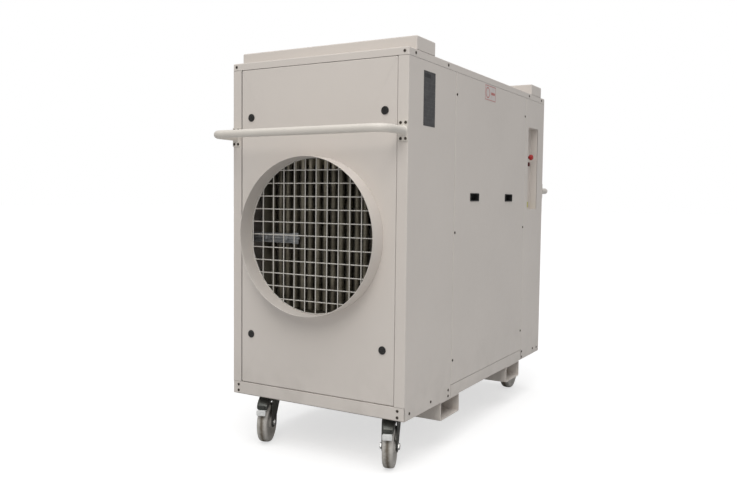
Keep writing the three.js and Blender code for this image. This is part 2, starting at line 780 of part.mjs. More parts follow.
const CHEEK_IN = HALF_TREAD + 5;
const CHEEK_OUT = CHEEK_IN + 4;
const BEARING_LOW = 176; // underside of the swivel bearing
for (const [name, side] of SIDES) {
  const group = new THREE.Group();
  group.position.set(side * CASTOR.x, CASTOR.swivelY, 0);
  machine.add(group);

  // Top plate bolted to the base frame, with the fixed half of the swivel bearing.
  const plate = join(
    block(-67, 67, -52, 52, CLEARANCE - 5, CLEARANCE),
    rod("z", [0, 0, 0], 34, CLEARANCE - 12, CLEARANCE - 4, 20),
    rod("z", [0, 0, 0], 8, BEARING_LOW - 8, CLEARANCE - 4, 10),
  );
  piece("castor_plate_" + name, plate, "zincFork", group);

  const swivelled = new THREE.Group();
  swivelled.rotation.z = CASTOR_TURN;
  group.add(swivelled);
  const crown = rod("z", [0, 0, 0], 42, BEARING_LOW, CLEARANCE - 12 - GAP, 20);
  const outline = [
    [-44 - 20, WHEEL_Z - 10],
    [-44 - 12, WHEEL_Z - 20],
    [-44 + 12, WHEEL_Z - 20],
    [-44 + 22, WHEEL_Z - 8],
    [34, 158],
    [36, BEARING_LOW + 4],
    [-36, BEARING_LOW + 4],
    [-58, 150],
  ];
  const cheeks = [-1, 1].map((way) => {
    const edges = [way * CHEEK_IN, way * CHEEK_OUT].sort((a, b) => a - b);
    return cheek(outline, ...edges, -CASTOR.trail);
  });
  const bridge = block(-CHEEK_OUT, CHEEK_OUT, -36, 36, BEARING_LOW, BEARING_LOW + 5);
  const brakeHouse = profileSlab(
    [
      [-37, 168],
      [-37, BEARING_LOW + 11],
      [-84, BEARING_LOW + 11],
      [-108, BEARING_LOW + 3],
      [-115, 168],
      [-115, 150],
      [-111, 150],
      [-92, 168],
    ],
    -CHEEK_OUT + 2,
    CHEEK_OUT - 2,
  );
  const king = rod("z", [0, 0, 0], 9, BEARING_LOW - 20, CLEARANCE, 10);
  piece("castor_fork_" + name, cut(join(crown, bridge, brakeHouse, ...cheeks), king), "zincFork", swivelled);

  const hub = new THREE.Group();
  hub.position.set(0, -CASTOR.trail, WHEEL_Z);
  swivelled.add(hub);
  piece("castor_wheel_front_" + name, wheel(), "nylon", hub);
  piece("castor_axle_front_" + name, axle(CHEEK_OUT), "bright", hub);

  // Foot brake: a bent lever that pivots under the brake housing and ends in a tread tab.
  const arm = profileSlab(
    [
      [-56, 161],
      [-56, 166],
      [-85.5, 163],
      [-113, 147],
      [-125, 146],
      [-125, 149],
      [-131, 149],
      [-131, 127],
      [-125, 127],
      [-125, 141],
      [-112, 142],
      [-84, 158],
    ],
    -17,
    17,
  );
  piece("brake_pedal_" + name, arm, "bright", swivelled);
}

for (const [name, side] of SIDES) {
  const group = new THREE.Group();
  group.position.set(side * CASTOR.rearX, CASTOR.rearY, 0);
  machine.add(group);
  const outline = [
    [-22, WHEEL_Z - 12],
    [-12, WHEEL_Z - 20],
    [12, WHEEL_Z - 20],
    [22, WHEEL_Z - 12],
    [44, CLEARANCE - 2],
    [-44, CLEARANCE - 2],
  ];
  const cheeks = [-1, 1].map((way) => {
    const edges = [way * CHEEK_IN, way * CHEEK_OUT].sort((a, b) => a - b);
    return cheek(outline, ...edges, 0);
  });
  const plate = block(-67, 67, -52, 52, CLEARANCE - 5, CLEARANCE);
  piece("castor_bracket_" + name, join(plate, ...cheeks), "zincFork", group);

  const hub = new THREE.Group();
  hub.position.set(0, 0, WHEEL_Z);
  group.add(hub);
  piece("castor_wheel_rear_" + name, wheel(), "nylon", hub);
  piece("castor_axle_rear_" + name, axle(CHEEK_OUT), "bright", hub);
}

export default machine;
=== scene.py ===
import math

import bpy
import numpy as np
from mathutils import Matrix, Vector


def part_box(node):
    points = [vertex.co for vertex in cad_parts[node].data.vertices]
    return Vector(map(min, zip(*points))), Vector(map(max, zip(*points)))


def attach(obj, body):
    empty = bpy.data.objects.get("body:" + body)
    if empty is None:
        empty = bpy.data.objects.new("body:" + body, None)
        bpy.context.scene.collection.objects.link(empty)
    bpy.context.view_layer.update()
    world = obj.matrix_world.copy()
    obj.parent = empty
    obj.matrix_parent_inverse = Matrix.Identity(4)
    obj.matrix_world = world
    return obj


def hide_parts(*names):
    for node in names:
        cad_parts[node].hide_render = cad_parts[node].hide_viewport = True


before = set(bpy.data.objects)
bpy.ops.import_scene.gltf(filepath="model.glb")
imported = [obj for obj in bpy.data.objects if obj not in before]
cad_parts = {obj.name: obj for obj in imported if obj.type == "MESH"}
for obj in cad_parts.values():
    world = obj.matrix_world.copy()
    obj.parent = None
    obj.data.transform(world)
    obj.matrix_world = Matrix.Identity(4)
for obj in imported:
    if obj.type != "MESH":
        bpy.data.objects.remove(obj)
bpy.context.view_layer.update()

# ------------------------------------------------------------------ camera
# A person's view from in front of the machine's right corner, at chest height and a little over three
# metres away, with a normal lens.
eye = Vector((1.6131, -3.1286, 0.9993))
yaw, pitch, roll = (math.radians(angle) for angle in (30.264, 3.568, 0.637))
ahead = Vector((-math.sin(yaw) * math.cos(pitch), math.cos(yaw) * math.cos(pitch), -math.sin(pitch)))
level = ahead.cross(Vector((0, 0, 1))).normalized()
upright = level.cross(ahead)
across = math.cos(roll) * level + math.sin(roll) * upright
over = math.cos(roll) * upright - math.sin(roll) * level
camera = bpy.data.objects.new("camera", bpy.data.cameras.new("camera"))
camera.data.sensor_width = 36
camera.data.lens = 36.707
turn = Matrix((across, over, -ahead)).transposed().to_4x4()
camera.matrix_world = Matrix.Translation(eye) @ turn
bpy.context.scene.collection.objects.link(camera)
bpy.context.scene.camera = camera


# ------------------------------------------------------------------ studio
# A pale seamless floor in a white room, a very soft light from straight above, and two large soft boxes,
# one in front and a weaker one at the right.
def add_node(tree, kind, settings=None, inputs=None):
    """One node in a tree. Settings are its properties; inputs are values, or sockets to link."""
    node = tree.nodes.new(kind)
    for key, value in (settings or {}).items():
        setattr(node, key, value)
    for key, value in (inputs or {}).items():
        if isinstance(value, bpy.types.NodeSocket):
            tree.links.new(value, node.inputs[key])
        else:
            node.inputs[key].default_value = value
    return node


def add_lamp(name, kind, place, aim, energy, **settings):
    """A light at a place, turned to face a point."""
    light = bpy.data.lights.new(name, kind)
    light.energy = energy
    for key, value in settings.items():
        setattr(light, key, value)
    lamp = bpy.data.objects.new(name, light)
    lamp.location = place
    lamp.rotation_euler = (Vector(aim) - Vector(place)).to_track_quat("-Z", "Y").to_euler()
    bpy.context.scene.collection.objects.link(lamp)


add_lamp("ceiling_light", "SUN", (0.5, -0.7, 5.0), (0, 0, 0), 1.75, angle=1.1)
add_lamp("front_box", "AREA", (1.4, -4.3, 3.9), (0, -0.6, 1.1), 66, size=2.4, color=(1.0, 0.965, 0.915))
add_lamp("side_box", "AREA", (5.0, -2.0, 3.0), (0.4, -0.4, 1.1), 9, size=2.4, color=(0.97, 0.975, 1.0))

ROOM_GLOW = 0.34
room = bpy.data.worlds.new("white_room")
room.use_nodes = True
room.node_tree.nodes.clear()
seen = add_node(room.node_tree, "ShaderNodeLightPath")
glow = add_node(
    room.node_tree, "ShaderNodeMapRange", None, {0: seen.outputs["Is Camera Ray"], 3: ROOM_GLOW, 4: 1.0}
)
white = add_node(room.node_tree, "ShaderNodeBackground", None, {0: (1, 1, 1, 1), 1: glow.outputs[0]})
add_node(room.node_tree, "ShaderNodeOutputWorld", None, {0: white.outputs[0]})
bpy.context.scene.world = room
bpy.context.scene.view_settings.view_transform = "Standard"

FLOOR_REACH = 60.0
floor_mesh = bpy.data.meshes.new("floor")
floor_corners = [(-1, -1, 0), (1, -1, 0), (1, 1, 0), (-1, 1, 0)]
floor_mesh.from_pydata(
    [(FLOOR_REACH * x, FLOOR_REACH * y, z) for x, y, z in floor_corners], [], [(0, 1, 2, 3)]
)
studio_floor = bpy.data.objects.new("floor", floor_mesh)
bpy.context.scene.collection.objects.link(studio_floor)
pale = bpy.data.materials.new("pale_floor")
pale.use_nodes = True
floor_shader = pale.node_tree.nodes["Principled BSDF"]
for key, value in {"Base Color": (0.5, 0.5, 0.5, 1), "Roughness": 0.95, "Specular IOR Level": 0.1}.items():
    floor_shader.inputs[key].default_value = value
floor_shader.inputs["Emission Color"].default_value = (1, 1, 1, 1)
seen = add_node(pale.node_tree, "ShaderNodeLightPath")
lift = add_node(
    pale.node_tree, "ShaderNodeMath", {"operation": "MULTIPLY"}, {0: seen.outputs["Is Camera Ray"], 1: 0.62}
)
pale.node_tree.links.new(lift.outputs[0], floor_shader.inputs["Emission Strength"])
floor_mesh.materials.append(pale)


# ------------------------------------------------------------------ cream powder coat
# The finish of every cabinet sheet: a satin cream powder coat with fine orange peel, faint cloudiness, a
# little grey dust near the floor and rubbed edges.
def maths(tree, operation, a, b=0.0):
    """One Math node's result."""
    return add_node(tree, "ShaderNodeMath", {"operation": operation}, {0: a, 1: b}).outputs[0]


def times(tree, a, b):
    """The product of two values."""
    return maths(tree, "MULTIPLY", a, b)


def object_place(tree):
    """The place of a shaded point in its object's own frame."""
    return add_node(tree, "ShaderNodeTexCoord").outputs["Object"]


def object_axes(tree):
    """That place's x, y and z."""
    return add_node(tree, "ShaderNodeSeparateXYZ", None, {0: object_place(tree)}).outputs


def blend(tree, factor, a, b, mode="MIX"):
    """One colour Mix node's result."""
    node = add_node(
        tree, "ShaderNodeMix", {"data_type": "RGBA", "blend_type": mode}, {0: factor, 6: a, 7: b}
    )
    return node.outputs[2]


def noise(tree, place, scale, detail=2.0):
    """Fractal noise, 0 to 1, read at a place."""
    return add_node(
        tree, "ShaderNodeTexNoise", None, {"Vector": place, "Scale": scale, "Detail": detail}
    ).outputs[0]


def ramp(tree, value, low, high, start=0.0, end=1.0):
    """A value carried from the range low to high onto start to end, and held at its ends."""
    return add_node(
        tree, "ShaderNodeMapRange", None, {0: value, 1: low, 2: high, 3: start, 4: end}
    ).outputs[0]


def new_group(name, sockets):
    """A shader node group. Sockets are (name, "INPUT" or "OUTPUT", type, default)."""
    group = bpy.data.node_groups.new(name, "ShaderNodeTree")
    for label, way, kind, default in sockets:
        socket = group.interface.new_socket(label, in_out=way, socket_type="NodeSocket" + kind)
        if default is not None:
            socket.default_value = default
    return group, add_node(group, "NodeGroupInput").outputs, add_node(group, "NodeGroupOutput").inputs


# Wear: how far an edge is rubbed, from the bend between the true normal and one rounded over a radius.
edge_wear, given, result = new_group(
    "edge_wear",
    [
        ("Radius", "INPUT", "Float", 0.003),
        ("Mask", "OUTPUT", "Float", None),
        ("Normal", "OUTPUT", "Vector", None),
    ],
)
rounded_normal = add_node(
    edge_wear, "ShaderNodeBevel", {"samples": 4}, {"Radius": given["Radius"]}
).outputs[0]
true_normal = add_node(edge_wear, "ShaderNodeNewGeometry").outputs["Normal"]
facing = add_node(
    edge_wear, "ShaderNodeVectorMath", {"operation": "DOT_PRODUCT"}, {0: rounded_normal, 1: true_normal}
)
place = object_place(edge_wear)
bent = ramp(edge_wear, facing.outputs["Value"], 0.995, 0.8)
broken = ramp(edge_wear, noise(edge_wear, place, 60.0, 4.0), 0.42, 0.62)
edge_wear.links.new(times(edge_wear, bent, broken), result["Mask"])
edge_wear.links.new(rounded_normal, result["Normal"])

# Coat: cloudy tone, dust that gathers towards the floor, orange-peel height and uneven gloss.
coat, given, result = new_group(
    "coat_texture",
    [
        ("Paint", "INPUT", "Color", (0.7, 0.7, 0.7, 1)),
        ("Dust", "INPUT", "Color", (0.4, 0.37, 0.33, 1)),
        ("Dusting", "INPUT", "Float", 0.5),
        ("Color", "OUTPUT", "Color", None),
        ("Roughness", "OUTPUT", "Float", None),
        ("Height", "OUTPUT", "Float", None),
    ],
)
place = object_place(coat)
height_above_floor = add_node(coat, "ShaderNodeSeparateXYZ", None, {0: place}).outputs[2]
cloud = noise(coat, place, 2.3, 3.0)
tone = ramp(coat, cloud, 0.25, 0.75, 0.965, 1.02)
tinted = blend(
    coat,
    1.0,
    given["Paint"],
    add_node(coat, "ShaderNodeCombineColor", None, {0: tone, 1: tone, 2: tone}).outputs[0],
    "MULTIPLY",
)
low = ramp(coat, height_above_floor, 0.42, 0.1)
smudge = ramp(coat, noise(coat, place, 11.0, 5.0), 0.4, 0.75)
dusted = times(coat, times(coat, low, smudge), given["Dusting"])
coat.links.new(blend(coat, dusted, tinted, given["Dust"]), result["Color"])
coat.links.new(ramp(coat, noise(coat, place, 38.0, 3.0), 0.3, 0.7, 0.36, 0.5), result["Roughness"])
coat.links.new(noise(coat, place, 620.0, 1.0), result["Height"])


def add_group(tree, group, inputs=None):
    """A group placed in a material; returns its outputs."""
    return add_node(tree, "ShaderNodeGroup", {"node_tree": group}, inputs).outputs


def new_finish(name, metallic=0.0, specular=0.5, coat_weight=0.0):
    """A material with a cleared tree and one Principled shader; returns the material, tree and shader."""
    finish = bpy.data.materials.new(name)
    finish.use_nodes = True
    tree = finish.node_tree
    tree.nodes.clear()
    shader = add_node(
        tree,
        "ShaderNodeBsdfPrincipled",
        None,
        {"Metallic": metallic, "Specular IOR Level": specular, "Coat Weight": coat_weight},
    )
    add_node(tree, "ShaderNodeOutputMaterial", None, {0: shader.outputs[0]})
    return finish, tree, shader


def raise_surface(tree, shader, height, strength, distance, normal=None):
    """A Bump node on the shader's Normal."""
    inputs = {"Height": height, "Strength": strength, "Distance": distance}
    if normal is not None:
        inputs["Normal"] = normal
    tree.links.new(add_node(tree, "ShaderNodeBump", None, inputs).outputs[0], shader.inputs["Normal"])


def powder_coat(name, paint, rubbed, dusting):
    """Powder-coated sheet: the coat group for the flats, the wear group where an edge is rubbed."""
    finish, tree, shader = new_finish(name)
    wear = add_group(tree, edge_wear, {"Radius": 0.002})
    surface = add_group(tree, coat, {"Paint": paint, "Dusting": dusting})
    worn = times(tree, wear["Mask"], 0.55)
    tree.links.new(blend(tree, worn, surface["Color"], rubbed), shader.inputs["Base Color"])
    tree.links.new(surface["Roughness"], shader.inputs["Roughness"])
    raise_surface(tree, shader, surface["Height"], 0.12, 0.0004, wear["Normal"])
    return finish


CREAM = (0.735, 0.685, 0.64, 1)
cream_paint = powder_coat("cream_paint", CREAM, (0.52, 0.5, 0.47, 1), 0.35)


# ------------------------------------------------------------------ base frame
# Welded and folded steel tray that carries everything: a C-section rail all round, 50 mm high, with a
# floor sheet and two cover strips under the service panels.
def filleted(points, radius, closed=True, steps=4):
    """Points of a polyline with its corners rounded. Each corner P, with tangent points A and B on its two
    sides, becomes the parabola (1-s)^2 A + 2s(1-s) P + s^2 B."""
    points = np.asarray(points, float)
    before = np.roll(points, 1, 0) - points
    after = np.roll(points, -1, 0) - points
    reach_back = np.linalg.norm(before, axis=1)
    reach_on = np.linalg.norm(after, axis=1)
    back = before / reach_back[:, None]
    on = after / reach_on[:, None]
    half = np.arccos(np.clip((back * on).sum(1), -1, 1)) / 2
    radii = np.broadcast_to(radius, len(points))
    cut = np.minimum(radii / np.maximum(np.tan(half), 1e-6), 0.45 * np.minimum(reach_back, reach_on))
    s = np.linspace(0, 1, steps + 1)[None, :, None]
    start = (points + back * cut[:, None])[:, None]
    end = (points + on * cut[:, None])[:, None]
    arcs = (1 - s) ** 2 * start + 2 * s * (1 - s) * points[:, None] + s**2 * end
    straight = (cut < 1e-5) | (half > math.radians(89))
    if not closed:
        straight = straight | np.isin(np.arange(len(points)), (0, len(points) - 1))
    rows = [points[i : i + 1] if straight[i] else arcs[i] for i in range(len(points))]
    return np.concatenate(rows)


def rectangle(low, high, radius, steps=4):
    """Outline of a rectangle with rounded corners, from its low and high corners."""
    corners = [(low[0], low[1]), (high[0], low[1]), (high[0], high[1]), (low[0], high[1])]
    return filleted(corners, max(radius, 1e-4), steps=steps)


def skin(loops, wrap=False):
    """Surface over a stack of closed loops. Vertex (i, j) is point j of loop i, and each cell of that grid is
    a quad. The end loops are closed by a flat face each or, wrapped, joined to each other."""
    loops = np.asarray(loops, float)
    count, points = loops.shape[:2]
    index = np.arange(count * points).reshape(count, points)
    rows = np.vstack([index, index[:1]]) if wrap else index
    beside = np.roll(rows, -1, 1)
    quads = np.stack([rows[:-1], beside[:-1], beside[1:], rows[1:]], -1).reshape(-1, 4)
    caps = [] if wrap else [index[0][::-1], index[-1]]
    return loops.reshape(-1, 3), quads, caps


def outward(shell):
    """The shell with its faces turned outwards: turned round if the volume that they enclose is negative. The
    volume is a sixth of the sum of each triangle's triple product."""
    vertices, quads, caps = shell
    triangles = [quads[:, [0, 1, 2]], quads[:, [0, 2, 3]]]
    triangles += [np.stack([np.full(len(c) - 2, c[0]), c[1:-1], c[2:]], -1) for c in caps]
    a, b, c = (vertices[np.concatenate(triangles)[:, k]] for k in range(3))
    if (a * np.cross(b, c)).sum() >= 0:
        return shell
    return vertices, quads[:, ::-1], [cap[::-1] for cap in caps]


def piece(name, shells, finish, body, stands_for=(), smooth=38, wall=0.0):
    """One mesh object from a list of shells, riding on a body. It is shaded smooth up to an angle, with
    normals weighted by face area so that flats stay flat. A wall thickens open sheets inwards."""
    vertices, faces, start = [], [], 0
    for shell in shells:
        points, quads, caps = shell if wall else outward(shell)
        vertices.append(points)
        faces += (quads + start).tolist() + [(cap + start).tolist() for cap in caps]
        start += len(points)
    mesh = bpy.data.meshes.new(name)
    mesh.from_pydata(np.concatenate(vertices), [], faces)
    mesh.shade_smooth()
    mesh.set_sharp_from_angle(angle=math.radians(smooth))
    mesh.materials.append(finish)
    thing = bpy.data.objects.new(name, mesh)
    bpy.context.scene.collection.objects.link(thing)
    if wall:
        solid = thing.modifiers.new("wall", "SOLIDIFY")
        solid.thickness = wall
        solid.offset = -1
    flats = thing.modifiers.new("flat_faces", "WEIGHTED_NORMAL")
    flats.keep_sharp = True
    flats.weight = 100
    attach(thing, body)
    if stands_for:
        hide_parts(*stands_for)
    return thing


def lay(outline, along, at):
    """A flat outline set at one or more places along an axis: (points, 2) becomes (places, points, 3)."""
    outline = np.asarray(outline, float)
    at = np.atleast_1d(np.asarray(at, float))
    loops = np.empty((len(at), len(outline), 3))
    first, second = [k for k in range(3) if k != along]
    loops[:, :, first] = outline[:, 0]
    loops[:, :, second] = outline[:, 1]
    loops[:, :, along] = at[:, None]
    return loops


def box_outline(low, high, along, radius, steps=4):
    """The rectangle a box shows along an axis, with rounded corners."""
    first, second = [k for k in range(3) if k != along]
    return rectangle((low[first], low[second]), (high[first], high[second]), radius, steps)


def inset(outline, amount):
    """An outline moved inwards, square to its own tangent at each point."""
    outline = np.asarray(outline, float)
    tangent = np.roll(outline, -1, 0) - np.roll(outline, 1, 0)
    normal = np.stack([-tangent[:, 1], tangent[:, 0]], -1) / np.linalg.norm(tangent, axis=1)[:, None]
    area = (outline[:, 0] * np.roll(outline[:, 1], -1) - outline[:, 1] * np.roll(outline[:, 0], -1)).sum()
    return outline + normal * amount * (1 if area > 0 else -1)


def plate(outline, along, low, high, edge=0.0008):
    """A flat plate: its outline carried along an axis, the two rims eased by a quarter circle."""
    angles = np.linspace(0, math.pi / 2, 4)
    loops = [
        lay(inset(outline, edge * (1 - math.sin(a))), along, low + edge * (1 - math.cos(a))) for a in angles
    ]
    loops += [
        lay(inset(outline, edge * (1 - math.sin(a))), along, high - edge * (1 - math.cos(a)))
        for a in angles[::-1]
    ]
    return skin(np.concatenate(loops))


X, Y, Z = 0, 1, 2
SHEET = 0.002
BEND = 0.0035
base_low, base_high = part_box("base_frame")
RAIL_WALL = 0.003
LIP = 0.04
inner_half = base_high.x - SHEET


def rail_loop(amount, height):
    """The base's outline in plan, moved inwards, at a height."""
    low = (-inner_half + amount, base_low.y + amount)
    high = (inner_half - amount, base_high.y - amount)
    return lay(rectangle(low, high, max(BEND - amount, 0.0004)), Z, height)


rail = np.concatenate(
    [
        rail_loop(0.0, base_low.z + 0.001),
        rail_loop(0.0, base_high.z - BEND),
        rail_loop(0.001, base_high.z - 0.001),
        rail_loop(BEND, base_high.z),
        rail_loop(LIP, base_high.z),
        rail_loop(LIP, base_high.z - RAIL_WALL),
        rail_loop(RAIL_WALL, base_high.z - RAIL_WALL),
        rail_loop(RAIL_WALL, base_low.z + RAIL_WALL),
    ]
)
tray_floor = plate(
    rectangle((-inner_half, base_low.y), (inner_half, base_high.y), BEND),
    Z,
    base_low.z,
    base_low.z + RAIL_WALL,
)
service_low, service_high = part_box("service_panel_right")
strips = [
    plate(
        rectangle((service_low.y, base_low.z), (service_high.y, base_high.z), 0.001),
        X,
        *sorted((side * (inner_half - 0.0002), side * base_high.x)),
    )
    for side in (-1, 1)
]
piece(
    "base_rail_and_floor", [skin(rail, wrap=True), tray_floor, *strips], cream_paint, "cabinet",
    ["base_frame"],
)

# ------------------------------------------------------------------ fork pockets
# Two rectangular steel channels across the underside, open at both ends, for a forklift's tines. Folded
# from 4 mm plate and coated with the cabinet.
for place_name in ("front", "rear"):
    low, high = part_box("fork_pocket_" + place_name)
    wall = 0.004
    outside = box_outline(low, high, X, 0.007)
    inside = rectangle((low.y + wall, low.z + wall), (high.y - wall, high.z - wall), 0.003)
    ease = 0.0006
    tube = np.concatenate(
        [
            lay(outside, X, [low.x + ease, high.x - ease]),
            lay(inset(outside, ease), X, high.x),
            lay(inside, X, [high.x, low.x]),
            lay(inset(outside, ease), X, low.x),
        ]
    )
    piece(
        "fork_channel_" + place_name, [skin(tube, wrap=True)], cream_paint, "cabinet",
        ["fork_pocket_" + place_name],
    )


# ------------------------------------------------------------------ roof and stacking beams
# The top cover is one sheet with its skirt turned down all round. Two full-width channels stand on it, and
# carry the fork pockets of a second machine.
def lid(low, high, skirt_wall, bend):
    """A shallow lid, open below: plan outlines carried up the inside of the skirt, round its foot, up the
    outside and over a quarter-circle bend onto the top."""
    angles = np.linspace(0, math.pi / 2, 5)

    def at(amount, height):
        """The lid's plan outline, moved inwards, at a height."""
        corner = max(bend - amount, 0.0006)
        return lay(
            rectangle((low.x + amount, low.y + amount), (high.x - amount, high.y - amount), corner),
            Z,
            height,
        )

    loops = [
        at(skirt_wall, high.z - skirt_wall), at(skirt_wall, low.z), at(0.0, low.z), at(0.0, high.z - bend)
    ]
    loops += [at(bend * (1 - math.cos(a)), high.z - bend * (1 - math.sin(a))) for a in angles[1:]]
    return skin(np.concatenate(loops))


cover_low, cover_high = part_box("top_cover")
piece(
    "roof_cover", [lid(cover_low, cover_high, SHEET, 0.004)], cream_paint, "cabinet", ["top_cover"],
)
for place_name in ("front", "rear"):
    low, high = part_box("stacking_beam_" + place_name)
    piece(
        "roof_beam_" + place_name, [lid(low, high, 0.003, 0.005)], cream_paint, "cabinet",
        ["stacking_beam_" + place_name],
    )


# ------------------------------------------------------------------ front and rear panels
# Tray-shaped panels between the corner strips. The front one has the round duct hole, and the rear one
# the rectangular intake opening.
def finely(outline, count):
    """An outline whose long straights, over 0.1 m, are cut into even steps with `count` points each."""
    sides = zip(outline, np.roll(outline, -1, 0))
    rows = [np.linspace(a, b, count)[:-1] if np.linalg.norm(b - a) > 0.1 else a[None] for a, b in sides]
    return np.concatenate(rows)


def tray_panel(low, high, face, inwards, hole):
    """A tray with a hole. Outlines run from the hole's edge over the face, round the bend, down the turned-in
    edge and back over the inside to the hole. `hole` gives the hole's outline for the panel's outline."""
    depth = high.y - low.y
    edge = box_outline(low, high, Y, 0.004, steps=6)
    dense = finely(edge, 25)
    opening = hole(dense)
    angles = np.linspace(0, math.pi / 2, 5)

    def at(outline, deep):
        """An outline laid at a depth behind the face."""
        return lay(outline, Y, face + inwards * deep)

    loops = [at(opening, 0.0)]
    loops += [at(inset(dense, BEND * (1 - math.sin(a))), BEND * (1 - math.cos(a))) for a in angles]
    loops += [
        at(dense, depth), at(inset(dense, SHEET), depth), at(inset(dense, SHEET), SHEET), at(opening, SHEET)
    ]
    return skin(np.concatenate(loops), wrap=True)


spigot_low, spigot_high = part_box("outlet_spigot")
outlet_z = (spigot_low.z + spigot_high.z) / 2
outlet_radius = (spigot_high.x - spigot_low.x) / 2
front_low, front_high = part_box("front_panel")


def duct_hole(outline):
    """The point of the duct's circle in the direction of each outline point from its centre."""
    away = outline - np.array([0, outlet_z])
    return np.array([0, outlet_z]) + (outlet_radius - 0.0026) * away / np.linalg.norm(away, axis=1)[:, None]


piece(
    "front_door_panel", [tray_panel(front_low, front_high, front_low.y, 1, duct_hole)], cream_paint,
    "cabinet", ["front_panel"],
)

grille_low, grille_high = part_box("intake_grille")
rear_low, rear_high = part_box("rear_panel")
GRILLE_LIP = 0.025


def intake_hole(outline):
    """The outline squeezed, side by side, onto the intake opening."""
    low = np.array([grille_low.x + GRILLE_LIP, grille_low.z + GRILLE_LIP])
    high = np.array([grille_high.x - GRILLE_LIP, grille_high.z - GRILLE_LIP])
    share = (outline - outline.min(0)) / np.ptp(outline, axis=0)
    return low + share * (high - low)


piece(
    "rear_door_panel", [tray_panel(rear_low, rear_high, rear_high.y, -1, intake_hole)], cream_paint,
    "cabinet", ["rear_panel"],
)


# ------------------------------------------------------------------ side and service panels
# Each fixed side panel is one folded sheet: corner strip, side and jamb, with a foot that covers the base
# rail. The service panel between them lifts off, and has openings for two moulded pulls.
def folded_sheet(profile, levels, foot, openings=()):
    """An open sheet: a filleted profile in plan carried straight up through the levels. Below the foot's
    height only the side itself goes on. Cells in an opening, two y and two z values, are left out."""
    path = filleted(profile, BEND, closed=False)
    levels = np.unique(list(levels) + [z for opening in openings for z in opening[2:]])
    grid = np.empty((len(levels), len(path), 3))
    grid[:, :, :2] = path
    grid[:, :, 2] = levels[:, None]
    index = np.arange(len(levels) * len(path)).reshape(len(levels), len(path))
    cells = np.stack([index[:-1, :-1], index[:-1, 1:], index[1:, 1:], index[1:, :-1]], -1)
    on_side = np.minimum(np.abs(path[:-1, 0]), np.abs(path[1:, 0])) > base_high.x - 1e-4
    middle_y = (path[:-1, 1] + path[1:, 1]) / 2
    middle_z = (levels[:-1] + levels[1:]) / 2
    keep = (middle_z > foot)[:, None] | on_side
    for y0, y1, z0, z1 in openings:
        in_hole = on_side & (middle_y > y0) & (middle_y < y1)
        keep &= ~(((middle_z > z0) & (middle_z < z1))[:, None] & in_hole)
    quads = cells[keep]
    points = grid.reshape(-1, 3)
    faces_out = points[:, 0].mean() * (path[-1, 1] - path[0, 1]) > 0
    return points, quads if faces_out else quads[:, ::-1], []


STRIP_WIDTH = 0.042
JAMB_DEPTH = 0.05
RETURN_DEPTH = 0.022
SEAM = 0.0003
foot_top = base_high.z + SEAM
recess_low, recess_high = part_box("control_box")
recess = (recess_low.y + SHEET, recess_high.y - SHEET, recess_low.z + SHEET, recess_high.z - SHEET)
for side_name, side in (("right", 1), ("left", -1)):
    skin_x = side * base_high.x
    for end_name in ("front", "rear"):
        low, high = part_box(f"side_panel_{end_name}_{side_name}")
        corner, jamb = (low.y, high.y) if end_name == "front" else (high.y, low.y)
        holed = end_name == "rear" and side == 1
        stops = [(skin_x, recess[1]), (skin_x, recess[0])] if holed else []
        strip = (side * (base_high.x - STRIP_WIDTH), corner)
        profile = [
            strip, (skin_x, corner), *stops, (skin_x, jamb), (side * (base_high.x - JAMB_DEPTH), jamb)
        ]
        if corner > jamb:
            profile = profile[::-1]
        piece(
            f"side_sheet_{end_name}_{side_name}",
            [folded_sheet(profile, (base_low.z, foot_top, high.z), foot_top, [recess] if holed else [])],
            cream_paint, "cabinet", [f"side_panel_{end_name}_{side_name}"],
            wall=SHEET,
        )

    low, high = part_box("service_panel_" + side_name)
    return_x = side * (base_high.x - RETURN_DEPTH)
    pull_holes = []
    for end_name in ("front", "rear"):
        cup_low, cup_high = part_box(f"pull_{end_name}_{side_name}")
        pull_holes.append((cup_low.y + SHEET, cup_high.y - SHEET, cup_low.z + SHEET, cup_high.z - SHEET))
    stops = [(skin_x, y) for hole in pull_holes for y in hole[:2]]
    piece(
        "service_door_" + side_name,
        [
            folded_sheet(
                [(return_x, low.y), (skin_x, low.y), *stops, (skin_x, high.y), (return_x, high.y)],
                (low.z, high.z),
                low.z,
                pull_holes,
            )
        ],
        cream_paint,
        f"service_panel_{side_name}_body",
        ["service_panel_" + side_name],
        wall=SHEET,
    )


# ------------------------------------------------------------------ panel screws
# Darkened steel pan-head screws with a hexagon socket hold the cover, the fixed panels, the service panels
# and the base together.
grain, given, result = new_group(
    "surface_grain",
    [
        ("Light", "INPUT", "Color", (0.5, 0.5, 0.5, 1)),
        ("Dark", "INPUT", "Color", (0.4, 0.4, 0.4, 1)),
        ("Scale", "INPUT", "Float", 30.0),
        ("Fine", "INPUT", "Float", 900.0),
        ("Smooth", "INPUT", "Float", 0.35),
        ("Rough", "INPUT", "Float", 0.55),
        ("Color", "OUTPUT", "Color", None),
        ("Roughness", "OUTPUT", "Float", None),
        ("Height", "OUTPUT", "Float", None),
    ],
)
place = object_place(grain)
mottle = ramp(grain, noise(grain, place, given["Scale"], 5.0), 0.32, 0.68)
grain.links.new(blend(grain, mottle, given["Light"], given["Dark"]), result["Color"])
patch = ramp(grain, noise(grain, place, times(grain, given["Scale"], 1.7), 3.0), 0.3, 0.7)
spread = times(grain, patch, maths(grain, "SUBTRACT", given["Rough"], given["Smooth"]))
grain.links.new(maths(grain, "ADD", given["Smooth"], spread), result["Roughness"])
grain.links.new(noise(grain, place, given["Fine"], 2.0), result["Height"])


